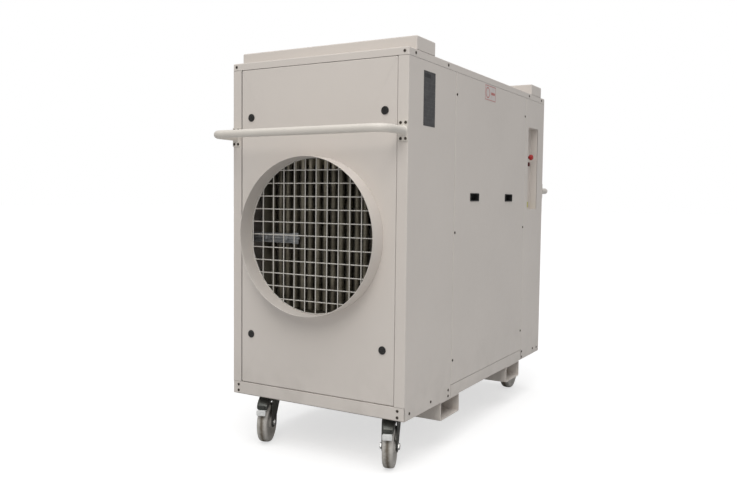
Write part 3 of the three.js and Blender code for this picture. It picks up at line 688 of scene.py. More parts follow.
def grain_shader(name, light, dark, scale, gloss, relief=(0.1, 0.0003), fine=900.0, rubbed=None, **shading):
    """A finish of two tones and two glosses that drift, with a fine grain and edges that may be rubbed to
    another colour. Returns the material, its tree and shader, and the colour."""
    finish, tree, shader = new_finish(name, **shading)
    inputs = {
        "Light": light, "Dark": dark, "Scale": scale, "Fine": fine, "Smooth": gloss[0], "Rough": gloss[1]
    }
    surface = add_group(tree, grain, inputs)
    color, normal = surface["Color"], None
    if rubbed:
        wear = add_group(tree, edge_wear, {"Radius": 0.001})
        color, normal = blend(tree, wear["Mask"], color, rubbed), wear["Normal"]
    tree.links.new(color, shader.inputs["Base Color"])
    tree.links.new(surface["Roughness"], shader.inputs["Roughness"])
    raise_surface(tree, shader, surface["Height"], *relief, normal)
    return finish, tree, shader, color


def grained(*tones, **shading):
    """A moulded or plated finish that is its grain only."""
    return grain_shader(*tones, **shading)[0]


screw_steel = grained(
    "screw_steel", (0.13, 0.11, 0.09, 1), (0.05, 0.042, 0.035, 1), 220.0, (0.35, 0.6), metallic=0.8
)
SCREW_RADIUS = 0.0055
SCREW_HEIGHT = 0.0022


def screw(centre, along, sense, radius=SCREW_RADIUS, height=SCREW_HEIGHT):
    """A pan-head screw: circles of twelve points from under the head over its dome, then the socket, whose
    radius is full at a hexagon's corner and cos 30 degrees of that at the middle of a flat."""
    angles = np.linspace(0, 2 * math.pi, 12, endpoint=False)
    circle = np.stack([np.cos(angles), np.sin(angles)], -1)
    hexagon = circle * np.where(np.arange(12) % 2, math.cos(math.pi / 6), 1.0)[:, None]
    rows = [(0, 1, circle), (0.45, 1, circle), (0.85, 0.85, circle), (1, 0.6, circle)]
    rows += [(1, 0.42, hexagon), (0.3, 0.4, hexagon)]
    loops = [lay(shape * radius * share, along, sense * height * rise) for rise, share, shape in rows]
    return skin(np.concatenate(loops) + np.asarray(centre, float))


face_y = base_high.y
CORNER_SCREW_X, RAIL_SCREW_X = 0.378, 0.367


def from_front(distance):
    """The y of a place that lies some millimetres behind the front face."""
    return distance / 1000 - face_y


skirt_z = (cover_low.z + cover_high.z) / 2
shells = []
for sense in (-1, 1):
    for x in (-CORNER_SCREW_X, CORNER_SCREW_X):
        shells.append(screw((x, sense * face_y, skirt_z), Y, sense))
    for x in (-RAIL_SCREW_X, RAIL_SCREW_X):
        shells += [screw((x, sense * face_y, z), Y, sense) for z in (0.213, 0.237)]
side_screws = [(from_front(y), skirt_z) for y in (52, 331, 1302, 1499)]
side_screws += [(from_front(y), z) for y, z in ((40, 0.223), (219, 0.225), (380, 0.236), (380, 0.212))]
side_screws += [(from_front(y), z) for y, z in ((1275, 0.24), (1275, 0.213), (1448, 0.227), (1512, 0.223))]
for sense in (-1, 1):
    shells += [screw((sense * base_high.x, y, z), X, sense) for y, z in side_screws]
piece("cabinet_screws", shells, screw_steel, "cabinet", ())
door_screws = [(from_front(418), z) for z in (1.415, 0.867, 0.35)]
door_screws += [(from_front(1246), z) for z in (1.41, 0.867, 0.35)]
for side_name, sense in (("right", 1), ("left", -1)):
    shells = [screw((sense * base_high.x, y, z), X, sense) for y, z in door_screws]
    body = f"service_panel_{side_name}_body"
    piece("service_door_screws_" + side_name, shells, screw_steel, body, ())


# ------------------------------------------------------------------ quarter-turn locks
# Four black moulded locks hold the front panel: a rimmed round head with a slotted barrel outside, and a
# steel cam behind the sheet, drawn here in the same black moulding, that turns out behind the corner strip.
def turned(profile, along, centre, points=48):
    """Loops of a turned shape: each profile row (distance, radius) is the circle of that radius, square to
    the axis, at that distance along it."""
    profile = np.asarray(profile, float)
    angles = np.linspace(0, 2 * math.pi, points, endpoint=False)
    first, second = [k for k in range(3) if k != along]
    loops = np.empty((len(profile), points, 3))
    loops[:, :, first] = centre[first] + profile[:, 1:] * np.cos(angles)
    loops[:, :, second] = centre[second] + profile[:, 1:] * np.sin(angles)
    loops[:, :, along] = profile[:, :1]
    return loops


def spun(profile, along, centre, points=48, wrap=False):
    """A turned shape with its skin."""
    return skin(turned(profile, along, centre, points), wrap)


def slot_loop(half_length, half_width, along, centre, at, points=48):
    """A rectangle round an axis in polar form: the nearer of the distances to its two pairs of sides."""
    angles = np.linspace(0, 2 * math.pi, points, endpoint=False)
    c, s = np.abs(np.cos(angles)), np.abs(np.sin(angles))
    radius = np.minimum(half_length / np.maximum(c, 1e-6), half_width / np.maximum(s, 1e-6))
    outline = radius[:, None] * np.stack([np.cos(angles), np.sin(angles)], -1)
    first, second = [k for k in range(3) if k != along]
    return lay(outline + np.array([centre[first], centre[second]]), along, at)


black_moulding = grained(
    "black_moulding",
    (0.028, 0.027, 0.026, 1),
    (0.016, 0.016, 0.016, 1),
    45.0,
    (0.38, 0.58),
    relief=(0.25, 0.0002),
    fine=1600.0,
    rubbed=(0.09, 0.088, 0.085, 1),
)
LOCK_HEAD = 0.015
CAM_REACH = 0.012
for corner in ("top_left", "top_right", "bottom_left", "bottom_right"):
    low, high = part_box("panel_lock_" + corner)
    centre_x = high.x - LOCK_HEAD if high.x < 0 else low.x + LOCK_HEAD
    centre = (centre_x, 0, (low.z + high.z) / 2)
    back = low.y + 0.003
    rows = [(high.y, 0.0075), (back, 0.0075), (back, LOCK_HEAD), (low.y + 0.0011, LOCK_HEAD)]
    rows += [
        (low.y, 0.0139),
        (low.y, 0.0112),
        (low.y + 0.0016, 0.0104),
        (low.y + 0.0016, 0.0096),
        (low.y + 0.0004, 0.009),
    ]
    head = np.concatenate(
        [
            turned(rows, Y, centre),
            slot_loop(0.0062, 0.0013, Y, centre, low.y + 0.0004),
            slot_loop(0.006, 0.0011, Y, centre, low.y + 0.0022),
        ]
    )
    inner, outer = sorted(
        (centre_x - math.copysign(CAM_REACH, centre_x), low.x if centre_x < 0 else high.x)
    )
    cam = plate(
        rectangle((inner, centre[2] - 0.011), (outer, centre[2] + 0.011), 0.005), Y, high.y - 0.003, high.y
    )
    piece(
        "quarter_turn_lock_" + corner, [skin(head), cam], black_moulding, "lock_" + corner,
        ["panel_lock_" + corner],
    )


# ------------------------------------------------------------------ handles
# A bent steel tube across each end of the machine, welded to a plate at each end. Four screws hold each
# plate over the corner strip.
def bent_tube(path, radius, along, level, points=24):
    """A round tube on a path that lies in a plane: circles at each path point, square to its tangent, from
    the in-plane normal and the plane's own normal."""
    path = np.asarray(path, float)
    tangent = np.gradient(path, axis=0)
    tangent /= np.linalg.norm(tangent, axis=1)[:, None]
    normal = np.stack([-tangent[:, 1], tangent[:, 0]], -1)
    angles = np.linspace(0, 2 * math.pi, points, endpoint=False)
    first, second = [k for k in range(3) if k != along]
    loops = np.empty((len(path), points, 3))
    loops[:, :, first] = path[:, :1] + radius * np.cos(angles) * normal[:, :1]
    loops[:, :, second] = path[:, 1:] + radius * np.cos(angles) * normal[:, 1:]
    loops[:, :, along] = level + radius * np.sin(angles)
    return skin(loops)


TUBE_RADIUS = 0.015
HANDLE_BEND = 0.05
PLATE_WALL = 0.004
HANDLE_PLATE_HALF = 0.018
handle_paint = powder_coat("handle_paint", (0.74, 0.7, 0.645, 1), (0.3, 0.29, 0.28, 1), 0.0)
for end_name, sense in (("front", -1), ("rear", 1)):
    low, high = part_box(end_name + "_handle")
    foot_x = high.x - HANDLE_PLATE_HALF
    level = (low.z + high.z) / 2
    near = low.y if sense > 0 else high.y
    bar = (high.y if sense > 0 else low.y) - sense * TUBE_RADIUS
    weld = near + sense * PLATE_WALL
    corners = [(-foot_x, weld), (-foot_x, bar), (foot_x, bar), (foot_x, weld)]
    shells = [bent_tube(filleted(corners, HANDLE_BEND, closed=False, steps=14), TUBE_RADIUS, Z, level)]
    heads = []
    for x in (-foot_x, foot_x):
        outline = rectangle((x - HANDLE_PLATE_HALF, low.z), (x + HANDLE_PLATE_HALF, high.z), 0.003)
        shells.append(plate(outline, Y, *sorted((near, weld))))
        bead = [
            (weld, 0.0195),
            (weld + sense * 0.0015, 0.0185),
            (weld + sense * 0.004, 0.0163),
            (weld + sense * 0.006, 0.0148),
        ]
        shells.append(spun(bead, Y, (x, 0, level), 32))
        heads += [
            screw((x + dx, weld, level + dz), Y, sense) for dx in (-0.01, 0.01) for dz in (-0.028, 0.028)
        ]
    name = end_name + "_handle"
    piece("push_" + name, shells, handle_paint, "cabinet", [name], smooth=50)
    piece(name + "_screws", heads, screw_steel, "cabinet", ())


# ------------------------------------------------------------------ outlet spigot and wire guard
# A rolled sheet collar for a flexible duct, with an eased rim, welded to the front panel. A grid of welded,
# coated wires in a hoop sits at its root.
RIM = 0.0006
root, mouth = spigot_high.y, spigot_low.y
inner_radius = outlet_radius - SHEET
spigot_rows = [(root, inner_radius), (root, outlet_radius), (mouth + RIM, outlet_radius)]
spigot_rows += [(mouth, outlet_radius - RIM), (mouth, inner_radius + RIM), (mouth + RIM, inner_radius)]
spigot = spun(spigot_rows, Y, (0, 0, outlet_z), 192, wrap=True)
piece("duct_spigot", [spigot], cream_paint, "cabinet", ["outlet_spigot"], smooth=30)


def rod(start, end, radius, points=10):
    """A straight round rod with eased ends: four circles, square to the line from its start to its end."""
    start, end = np.asarray(start, float), np.asarray(end, float)
    length = np.linalg.norm(end - start)
    axis = (end - start) / length
    side = np.cross(axis, (0.31, 0.52, 0.79))
    side /= np.linalg.norm(side)
    angles = np.linspace(0, 2 * math.pi, points, endpoint=False)[:, None]
    ring = np.cos(angles) * side + np.sin(angles) * np.cross(axis, side)
    ease = 0.35 * radius
    rows = [(0, radius - ease), (ease, radius), (length - ease, radius), (length, radius - ease)]
    return skin(np.stack([start + axis * t + ring * r for t, r in rows]))


guard_paint = powder_coat("guard_paint", (0.66, 0.64, 0.6, 1), (0.42, 0.4, 0.38, 1), 0.0)
WIRE = 0.002
MESH_PITCH = 0.05
MESH_SHIFT = 0.014
guard_low, guard_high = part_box("outlet_guard")
hoop_radius = inner_radius - WIRE
hoop_y = (guard_low.y + guard_high.y) / 2
angles = np.linspace(0, 2 * math.pi, 10, endpoint=False)
hoop_rows = np.stack([hoop_y + WIRE * np.sin(angles), hoop_radius + WIRE * np.cos(angles)], -1)
shells = [spun(hoop_rows, Y, (0, 0, outlet_z), 128, wrap=True)]
upright_y = hoop_y - 1.7 * WIRE
for x in MESH_SHIFT + MESH_PITCH * np.arange(-6, 6):
    half = math.sqrt(hoop_radius**2 - x**2)
    shells.append(rod((x, upright_y, outlet_z - half), (x, upright_y, outlet_z + half), WIRE))
for rise in MESH_PITCH * np.arange(-5, 6):
    half = math.sqrt(hoop_radius**2 - rise**2)
    shells.append(rod((-half, hoop_y, outlet_z + rise), (half, hoop_y, outlet_z + rise), WIRE))
piece("duct_wire_guard", shells, guard_paint, "cabinet", ["outlet_guard"], smooth=60)


# ------------------------------------------------------------------ moulded pulls
# Black flush pulls, two to a service panel: a rimmed flange outside the sheet and a pocket for the fingers.
for side_name, side in (("right", 1), ("left", -1)):
    for end_name in ("front", "rear"):
        low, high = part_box(f"pull_{end_name}_{side_name}")
        outline = box_outline(low, high, X, 0.004)
        face, back = max(abs(low.x), abs(high.x)), min(abs(low.x), abs(high.x))
        rows = [
            (back, 0.0035),
            (back + 0.001, 0.0026),
            (base_high.x, 0.0026),
            (base_high.x, 0.0),
            (face - 0.0004, 0.0),
        ]
        rows += [(face, 0.0006), (face, 0.0028), (face - 0.001, 0.0036), (back + 0.0015, 0.0056)]
        loops = np.concatenate([lay(inset(outline, amount), X, side * x) for x, amount in rows])
        piece(
            f"flush_pull_{end_name}_{side_name}", [skin(loops)], black_moulding,
            f"service_panel_{side_name}_body", [f"pull_{end_name}_{side_name}"],
        )


# ------------------------------------------------------------------ control recess
# A folded steel pocket in the right side, coated with the cabinet. On its back wall are the start button, the
# emergency stop and the mains switch, each in a black collar, and a small coloured tag.
tub = box_outline(recess_low, recess_high, X, 0.003)
tub_rows = [
    (recess_low.x + 0.001, 0.001), (recess_low.x + 0.003, 0.0), (recess_high.x, 0.0), (recess_high.x, SHEET)
]
tub_rows += [(recess_low.x + SHEET + 0.002, SHEET), (recess_low.x + SHEET, SHEET + 0.002)]
tub_loops = np.concatenate([lay(inset(tub, amount), X, x) for x, amount in tub_rows])
piece("control_pocket", [skin(tub_loops)], cream_paint, "cabinet", ["control_box"])

back_wall = recess_low.x + SHEET
stop_low, stop_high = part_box("emergency_stop_button")
knob_low, knob_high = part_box("mains_switch_knob")
start_low, start_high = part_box("start_button")


def middle(low, high):
    """The centre of a box."""
    return [(a + b) / 2 for a, b in zip(low, high)]


stop_collar = [(back_wall, 0.0175), (back_wall + 0.0022, 0.0175), (back_wall + 0.003, 0.0167)]
stop_collar += [
    (back_wall + 0.003, 0.0125),
    (back_wall + 0.013, 0.0112),
    (back_wall + 0.014, 0.0102),
    (back_wall + 0.014, 0.0086),
]
knob_collar = [
    (back_wall, 0.0125),
    (back_wall + 0.0035, 0.0125),
    (back_wall + 0.0042, 0.0118),
    (back_wall + 0.0042, 0.004),
]
start_collar = [
    (back_wall, 0.013),
    (back_wall + 0.004, 0.013),
    (back_wall + 0.0052, 0.0118),
    (back_wall + 0.0052, 0.0106),
]
start_collar += [(back_wall + 0.0014, 0.0103)]
shells = [
    spun(stop_collar, X, middle(stop_low, stop_high)),
    spun(knob_collar, X, middle(knob_low, knob_high)),
    spun(start_collar, X, middle(start_low, start_high)),
]
piece("control_collars", shells, black_moulding, "cabinet", ())

red_plastic = grained(
    "red_plastic", (0.5, 0.022, 0.02, 1), (
        0.4, 0.014, 0.014, 1
    ), 60.0, (0.25, 0.42), rubbed=(0.6, 0.12, 0.1, 1)
)
tip = stop_high.x
head_rows = [(stop_low.x, 0.0055), (tip - 0.0195, 0.0055), (tip - 0.0195, 0.0082), (tip - 0.0175, 0.0128)]
head_rows += [
    (tip - 0.0155, 0.0142),
    (tip - 0.009, 0.0142),
    (tip - 0.0045, 0.0125),
    (tip - 0.0014, 0.009),
    (tip, 0.004),
]
stop_centre = middle(stop_low, stop_high)
stop_head = spun(head_rows, X, stop_centre)
piece(
    "emergency_stop_head", [stop_head], red_plastic, "emergency_stop", ["emergency_stop_button"],
    smooth=50,
)

# Painted shade: the mains switch grip gets a darkened copy of the stop button's red, which stands in for the
# shadow it lies in low in the control recess.
dark_red_plastic = grained(
    "dark_red_plastic", (
        0.13, 0.012, 0.014, 1
    ), (0.08, 0.008, 0.01, 1), 60.0, (0.3, 0.48), rubbed=(0.25, 0.06, 0.05, 1)
)
knob_centre = middle(knob_low, knob_high)
knob_base = back_wall + 0.006
skirt_rows = [
    (knob_low.x, 0.0036),
    (knob_base, 0.0036),
    (knob_base, 0.0108),
    (knob_base + 0.004, 0.0108),
    (knob_base + 0.006, 0.0092),
]
grip = rectangle(
    (knob_centre[1] - 0.0035, knob_low.z + 0.0005), (knob_centre[1] + 0.0035, knob_high.z - 0.0005), 0.003
)
grip_shell = plate(grip, X, knob_base + 0.004, knob_high.x, edge=0.0015)
piece(
    "mains_switch_grip", [spun(skirt_rows, X, knob_centre), grip_shell], dark_red_plastic, "mains_switch",
    ["mains_switch_knob"],
)

green_plastic = grained(
    "green_plastic", (
        0.03, 0.24, 0.09, 1
    ), (0.02, 0.17, 0.06, 1), 60.0, (0.25, 0.42), rubbed=(0.12, 0.35, 0.2, 1)
)
tip = start_high.x
cap_rows = [
    (start_low.x, 0.005), (tip - 0.006, 0.005), (tip - 0.006, 0.0096), (tip - 0.0012, 0.0096), (tip, 0.0084)
]
cap_shell = spun(cap_rows, X, middle(start_low, start_high))
piece("start_button_cap", [cap_shell], green_plastic, "start", ["start_button"])

tag_vinyl = grained(
    "tag_vinyl", (0.62, 0.6, 0.2, 1), (0.52, 0.53, 0.16, 1), 40.0, (0.35, 0.5), relief=(0.05, 0.0001)
)
TAG_LOW, TAG_HIGH = (0.634, 0.964), (0.67, 0.992)
tag_outline = rectangle(TAG_LOW, TAG_HIGH, 0.002)
tag = plate(tag_outline, X, back_wall - 0.0001, back_wall + 0.0004, edge=0.0001)
piece("recess_tag", [tag], tag_vinyl, "cabinet", ())


# ------------------------------------------------------------------ rating plate and label
# A dark anodised plate riveted to the side, with ruled fields and no lettering, and a white vinyl label with
# a plain red outline and ring.
def span_mask(tree, value, low, high, soft):
    """1 where a coordinate lies between low and high, with soft ends."""
    over = ramp(tree, value, low - soft, low + soft)
    under = ramp(tree, value, high + soft, high - soft)
    return times(tree, over, under)


plate_low, plate_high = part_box("rating_plate")
anodised, tree, shader, bare = grain_shader(
    "anodised_plate",
    (0.105, 0.105, 0.108, 1),
    (0.075, 0.075, 0.078, 1),
    40.0,
    (0.4, 0.55),
    (0.08, 0.0002),
    metallic=0.35,
)
axes = object_axes(tree)
PRINT_EDGE = 0.0004
LINE_PITCH = 0.0142
RULED_Z = (1.282, 1.43)
HEADER_Y, HEADER_Z = (-0.648, -0.6), (1.442, 1.457)
row = maths(tree, "FRACT", times(tree, maths(tree, "SUBTRACT", axes[2], plate_low.z), 1 / LINE_PITCH))
ruled_z = span_mask(tree, axes[2], *RULED_Z, PRINT_EDGE)
ruled_y = span_mask(tree, axes[1], plate_low.y + 0.007, plate_high.y - 0.007, PRINT_EDGE)
rules = times(tree, span_mask(tree, row, 0.0, 0.09, 0.02), ruled_z)
rules = times(tree, rules, ruled_y)
block_z = span_mask(tree, axes[2], *HEADER_Z, PRINT_EDGE)
block = times(tree, block_z, span_mask(tree, axes[1], *HEADER_Y, PRINT_EDGE))
color = blend(tree, times(tree, rules, 0.35), bare, (0.2, 0.2, 0.2, 1))
color = blend(tree, times(tree, block, 0.8), color, (0.03, 0.03, 0.032, 1))
tree.links.new(color, shader.inputs["Base Color"])
outline = box_outline(plate_low, plate_high, X, 0.003)
shells = [plate(outline, X, plate_low.x, plate_high.x, edge=0.0002)]
piece("ruled_rating_plate", shells, anodised, "cabinet", ["rating_plate"])
rivets = [
    spun(
        [(plate_high.x - 0.0002, 0.0022), (plate_high.x + 0.0005, 0.0021), (plate_high.x + 0.001, 0.001)],
        X,
        (0, y, z),
        16,
    )
    for y in (plate_low.y + 0.005, plate_high.y - 0.005)
    for z in (plate_low.z + 0.005, plate_high.z - 0.005)
]
piece("plate_rivets", rivets, screw_steel, "cabinet", (), smooth=60)

label_low, label_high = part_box("warning_label")
RING_CENTRE, RING_RADII = (-0.03, 1.4635), (0.0185, 0.0235)
BAR_Y, BAR_Z = (0.008, 0.054), (1.458, 1.469)
BORDER_IN, BORDER_OUT = 0.006, 0.003
vinyl, tree, shader, white = grain_shader(
    "label_vinyl", (0.72, 0.66, 0.64, 1), (0.64, 0.59, 0.57, 1), 35.0, (0.3, 0.45), (0.05, 0.0001)
)
axes = object_axes(tree)
from_ring = [maths(tree, "SUBTRACT", axes[k + 1], RING_CENTRE[k]) for k in (0, 1)]
squares = [times(tree, d, d) for d in from_ring]
ring_distance = maths(tree, "SQRT", maths(tree, "ADD", *squares))
ring = span_mask(tree, ring_distance, *RING_RADII, PRINT_EDGE)


def label_field(margin):
    """1 inside the label, a margin in from its edges."""
    field_y = span_mask(tree, axes[1], label_low.y + margin, label_high.y - margin, PRINT_EDGE)
    field_z = span_mask(tree, axes[2], label_low.z + margin, label_high.z - margin, PRINT_EDGE)
    return times(tree, field_y, field_z)


border = maths(tree, "SUBTRACT", 1.0, label_field(BORDER_IN))
margin = label_field(BORDER_OUT)
bar_y = span_mask(tree, axes[1], *BAR_Y, PRINT_EDGE)
bar = times(tree, bar_y, span_mask(tree, axes[2], *BAR_Z, PRINT_EDGE))
printed = maths(tree, "MAXIMUM", times(tree, border, margin), maths(tree, "MAXIMUM", ring, bar))
inked = blend(tree, times(tree, printed, 0.8), white, (0.5, 0.08, 0.06, 1))
tree.links.new(inked, shader.inputs["Base Color"])
outline = box_outline(label_low, label_high, X, 0.004)
shells = [plate(outline, X, label_low.x, label_high.x, edge=0.0001)]
piece("vinyl_label", shells, vinyl, "service_panel_right_body", ["warning_label"])


# ------------------------------------------------------------------ intake grille
# A coated steel frame over the intake opening, with fourteen folded louvre blades that shed water outwards.
# Screws along its edge hold it to the rear panel.
def ring_plate(outer, inner, along, low, high, edge=0.0006):
    """A flat plate with a hole: matching outer and inner outlines carried round the plate's section, with its
    outside rims eased."""
    rows = [(outer, low + edge, 0.0), (outer, high - edge, 0.0), (outer, high, edge), (inner, high, -edge)]
    rows += [(inner, high - edge, 0.0), (inner, low + edge, 0.0), (inner, low, -edge), (outer, low, edge)]
    return skin(
        np.concatenate([lay(inset(outline, amount), along, at) for outline, at, amount in rows]), wrap=True
    )


def thick_line(points, wall):
    """The outline of a bent strip: a polyline's points offset by half the wall to one side, then back along
    the other side."""
    points = np.asarray(points, float)
    tangent = np.gradient(points, axis=0)
    tangent /= np.linalg.norm(tangent, axis=1)[:, None]
    offset = np.stack([-tangent[:, 1], tangent[:, 0]], -1) * wall / 2
    return np.concatenate([points + offset, (points - offset)[::-1]])


BLADES = 14
GRILLE_WALL = 0.004
grille_face = base_high.y + GRILLE_WALL + SEAM
outer = box_outline(grille_low, grille_high, Y, 0.006)
inner_low = (grille_low.x + 0.035, grille_low.z + 0.035)
inner_high = (grille_high.x - 0.035, grille_high.z - 0.035)
shells = [
    ring_plate(outer, rectangle(inner_low, inner_high, 0.004), Y, grille_face - GRILLE_WALL, grille_face)
]
pitch = (inner_high[1] - inner_low[1]) / BLADES
section = filleted(
    [(-0.0115, 0.016), (-0.0035, 0.0085), (0.0105, -0.0085), (0.0105, -0.015)], 0.006, closed=False
)
for step in range(BLADES):
    level = inner_low[1] + (step + 0.5) * pitch
    outline = thick_line(section, 0.0015) + np.array([base_high.y - 0.0075, level])
    shells.append(skin(lay(outline, X, [inner_low[0] - 0.001, inner_high[0] + 0.001])))
piece("louvre_grille", shells, cream_paint, "cabinet", ["intake_grille"], smooth=30)
edge_x = grille_high.x - 0.012
heads = [
    screw((x, grille_face, z), Y, 1)
    for x in (-edge_x, edge_x)
    for z in np.linspace(grille_low.z + 0.03, grille_high.z - 0.03, 5)
]
heads += [
    screw((x, grille_face, z), Y, 1)
    for x in (-0.14, 0.14)
    for z in (grille_low.z + 0.012, grille_high.z - 0.012)
]
piece("louvre_grille_screws", heads, screw_steel, "cabinet", ())


# ------------------------------------------------------------------ intake filter
# A pleated panel of grey non-woven media in a folded galvanised frame, behind the grille. The zinc of every
# galvanised sheet shows its spangle as cells of slightly different tone and gloss.
galvanised, tree, shader, zinc = grain_shader(
    "galvanised_sheet",
    (0.46, 0.475, 0.485, 1),
    (0.34, 0.355, 0.37, 1),
    14.0,
    (0.3, 0.5),
    (0.06, 0.0002),
    metallic=0.75,
)
cells = add_node(tree, "ShaderNodeTexVoronoi", None, {"Vector": object_place(tree), "Scale": 55.0})
spangle = add_node(tree, "ShaderNodeSeparateXYZ", None, {0: cells.outputs["Color"]}).outputs[0]
sheen_cells = times(tree, spangle, 0.45)
tree.links.new(blend(tree, sheen_cells, zinc, (0.24, 0.255, 0.27, 1)), shader.inputs["Base Color"])
grain_gloss = shader.inputs["Roughness"].links[0].from_socket
tree.links.new(maths(tree, "ADD", grain_gloss, times(tree, spangle, 0.1)), shader.inputs["Roughness"])

filter_cloth, tree, shader = new_finish("filter_cloth", specular=0.15)
place = object_place(tree)
stretched = add_node(tree, "ShaderNodeMapping", None, {"Vector": place, "Scale": (1, 1, 0.15)}).outputs[0]
fibre = ramp(tree, noise(tree, stretched, 700.0, 3.0), 0.35, 0.65)
soiled = ramp(tree, noise(tree, place, 4.0, 4.0), 0.35, 0.7)
cloth_tone = blend(tree, fibre, (0.42, 0.43, 0.43, 1), (0.33, 0.34, 0.345, 1))
tree.links.new(
    blend(tree, times(tree, soiled, 0.4), cloth_tone, (0.2, 0.19, 0.175, 1)), shader.inputs["Base Color"]
)
tree.links.new(ramp(tree, fibre, 0.0, 1.0, 0.85, 0.98), shader.inputs["Roughness"])
raise_surface(tree, shader, fibre, 0.5, 0.0006)

filter_low, filter_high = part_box("intake_filter")
FRAME_FACE = 0.02
PLEATS = 56
outer = box_outline(filter_low, filter_high, Y, 0.002)
inner = rectangle(
    (filter_low.x + FRAME_FACE, filter_low.z + FRAME_FACE), (
        filter_high.x - FRAME_FACE, filter_high.z - FRAME_FACE
    ), 0.002
)
shells = [ring_plate(outer, inner, Y, filter_low.y, filter_high.y)]
piece("filter_frame", shells, galvanised, "cabinet", ())
fold_x = np.linspace(filter_low.x + FRAME_FACE - 0.004, filter_high.x - FRAME_FACE + 0.004, 2 * PLEATS + 1)
fold_y = np.where(np.arange(len(fold_x)) % 2, filter_high.y - 0.003, filter_low.y + 0.003)
folds = filleted(np.stack([fold_x, fold_y], -1), 0.0012, closed=False, steps=3)
media = skin(
    lay(
        thick_line(folds, 0.0016),
        Z,
        [filter_low.z + FRAME_FACE - 0.004, filter_high.z - FRAME_FACE + 0.004],
    )
)
piece("pleated_media", [media], filter_cloth, "cabinet", ["intake_filter"], smooth=30)


# ------------------------------------------------------------------ power inlet
# A black flange-mounted appliance inlet in the rear panel: a keyed round shroud, and five plated pins.
inlet_low, inlet_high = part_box("power_inlet")
inlet_x, inlet_z = (inlet_low.x + inlet_high.x) / 2, (inlet_low.z + inlet_high.z) / 2
flange_y = base_high.y + 0.008
outline = box_outline(inlet_low, inlet_high, Y, 0.008)
shells = [plate(outline, Y, base_high.y + SEAM, flange_y, edge=0.0015)]
rows = [
    (inlet_low.y, 0.029),
    (inlet_low.y + 0.003, 0.032),
    (flange_y - 0.001, 0.032),
    (flange_y - 0.001, 0.0395),
]
rows += [
    (flange_y + 0.004, 0.038),
    (inlet_high.y - 0.008, 0.038),
    (inlet_high.y - 0.008, 0.0385),
    (inlet_high.y - 0.001, 0.0385),
]
rows += [
    (inlet_high.y, 0.0375), (inlet_high.y, 0.035), (inlet_high.y - 0.001, 0.034), (flange_y + 0.004, 0.034)
]
shells.append(spun(rows, Y, (inlet_x, 0, inlet_z), 48))
key = rectangle((inlet_x - 0.004, inlet_z - 0.042), (inlet_x + 0.004, inlet_z - 0.036), 0.001)
shells.append(plate(key, Y, flange_y, inlet_high.y - 0.001))
piece("inlet_housing", shells, black_moulding, "cabinet", ["power_inlet"])
bright_steel = grained(
    "bright_zinc", (
        0.66, 0.665, 0.66, 1
    ), (0.52, 0.525, 0.53, 1), 90.0, (0.22, 0.42), metallic=0.85, rubbed=(0.8, 0.8, 0.79, 1)
)
pin_angles = (0.3 + np.arange(5)) * 2 * math.pi / 5
pins = [
    rod((inlet_x + 0.018 * math.cos(a), flange_y, inlet_z + 0.018 * math.sin(a)),
        (inlet_x + 0.018 * math.cos(a), inlet_high.y - 0.014, inlet_z + 0.018 * math.sin(a)), 0.003)
    for a in pin_angles
]
pins += [
    screw((inlet_x + dx, flange_y, inlet_z + dz), Y, 1, 0.004, 0.002)
    for dx in (-0.036, 0.036)
    for dz in (-0.036, 0.036)
]
piece("inlet_pins_and_screws", pins, bright_steel, "cabinet", ())


# ------------------------------------------------------------------ heater battery
# Two staggered rows of finned steel heating tubes stand behind the outlet between two channels. The ends of
# the tubes are plain, with a lighter, yellowish colour painted on them as a painted highlight for their
# shine; the fins are heat-tinted brown.
heater_steel, tree, shader, tinted = grain_shader(
    "heat_tinted_steel", (0.34, 0.315, 0.25, 1), (0.19, 0.17, 0.13, 1), 16.0, (0.35, 0.55), metallic=0.55
)
axes = object_axes(tree)
heater_low, heater_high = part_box("heater_battery")
PLAIN_END = 0.05
# Painted highlight: a band near the top, over the plain tube ends, is coloured lighter and yellowish to stand
# in for the shine there.
painted_highlight_tops = span_mask(tree, axes[2], heater_high.z - PLAIN_END, heater_high.z - 0.008, 0.003)
tree.links.new(blend(tree, painted_highlight_tops, tinted, (0.62, 0.57, 0.46, 1)), shader.inputs["Base Color"])

HEADER_WALL = 0.012
TUBE_PITCH = 0.036
FIN_PITCH = 0.0056
FIN_RADIUS = 0.013
CORE_RADIUS = 0.0085
fins = np.arange(heater_low.z + PLAIN_END, heater_high.z - PLAIN_END, FIN_PITCH)
fin_rows = np.stack(
    [
        np.stack([fins, np.full(len(fins), CORE_RADIUS)], -1),
        np.stack([fins + 0.0004, np.full(len(fins), FIN_RADIUS)], -1),
        np.stack([fins + 0.0012, np.full(len(fins), FIN_RADIUS)], -1),
        np.stack([fins + 0.0016, np.full(len(fins), CORE_RADIUS)], -1),
    ],
    1,
).reshape(-1, 2)
ends = [(heater_low.z + HEADER_WALL, CORE_RADIUS)], [(heater_high.z - HEADER_WALL, CORE_RADIUS)]
tube_rows = np.concatenate([ends[0], fin_rows, ends[1]])
row_y = (heater_low.y + 0.02, heater_high.y - 0.02)
for name, y, count in (("front", row_y[0], 15), ("rear", row_y[1], 14)):
    places = (np.arange(count) - (count - 1) / 2) * TUBE_PITCH
    shells = [spun(tube_rows, Z, (x, y, 0), 12) for x in places]
    stands = ["heater_battery"] if name == "front" else []
    piece(f"heater_tubes_{name}", shells, heater_steel, "cabinet", stands, smooth=25)
cheek_x = heater_high.x - 0.0015
shells = []
for level, turn in ((heater_low.z, 1), (heater_high.z, -1)):
    channel = [(heater_low.y, level), (heater_high.y, level), (heater_high.y, level + turn * 0.03)]
    outline = thick_line(filleted(channel, 0.004, closed=False), 0.0015)
    shells.append(skin(lay(outline, X, [-cheek_x, cheek_x])))
for x in (-cheek_x, cheek_x):
    outline = box_outline(heater_low, heater_high, X, 0.004)
    shells.append(plate(outline, X, x - 0.001, x + 0.001, edge=0.0003))
piece("heater_channels", shells, heater_steel, "cabinet", ())


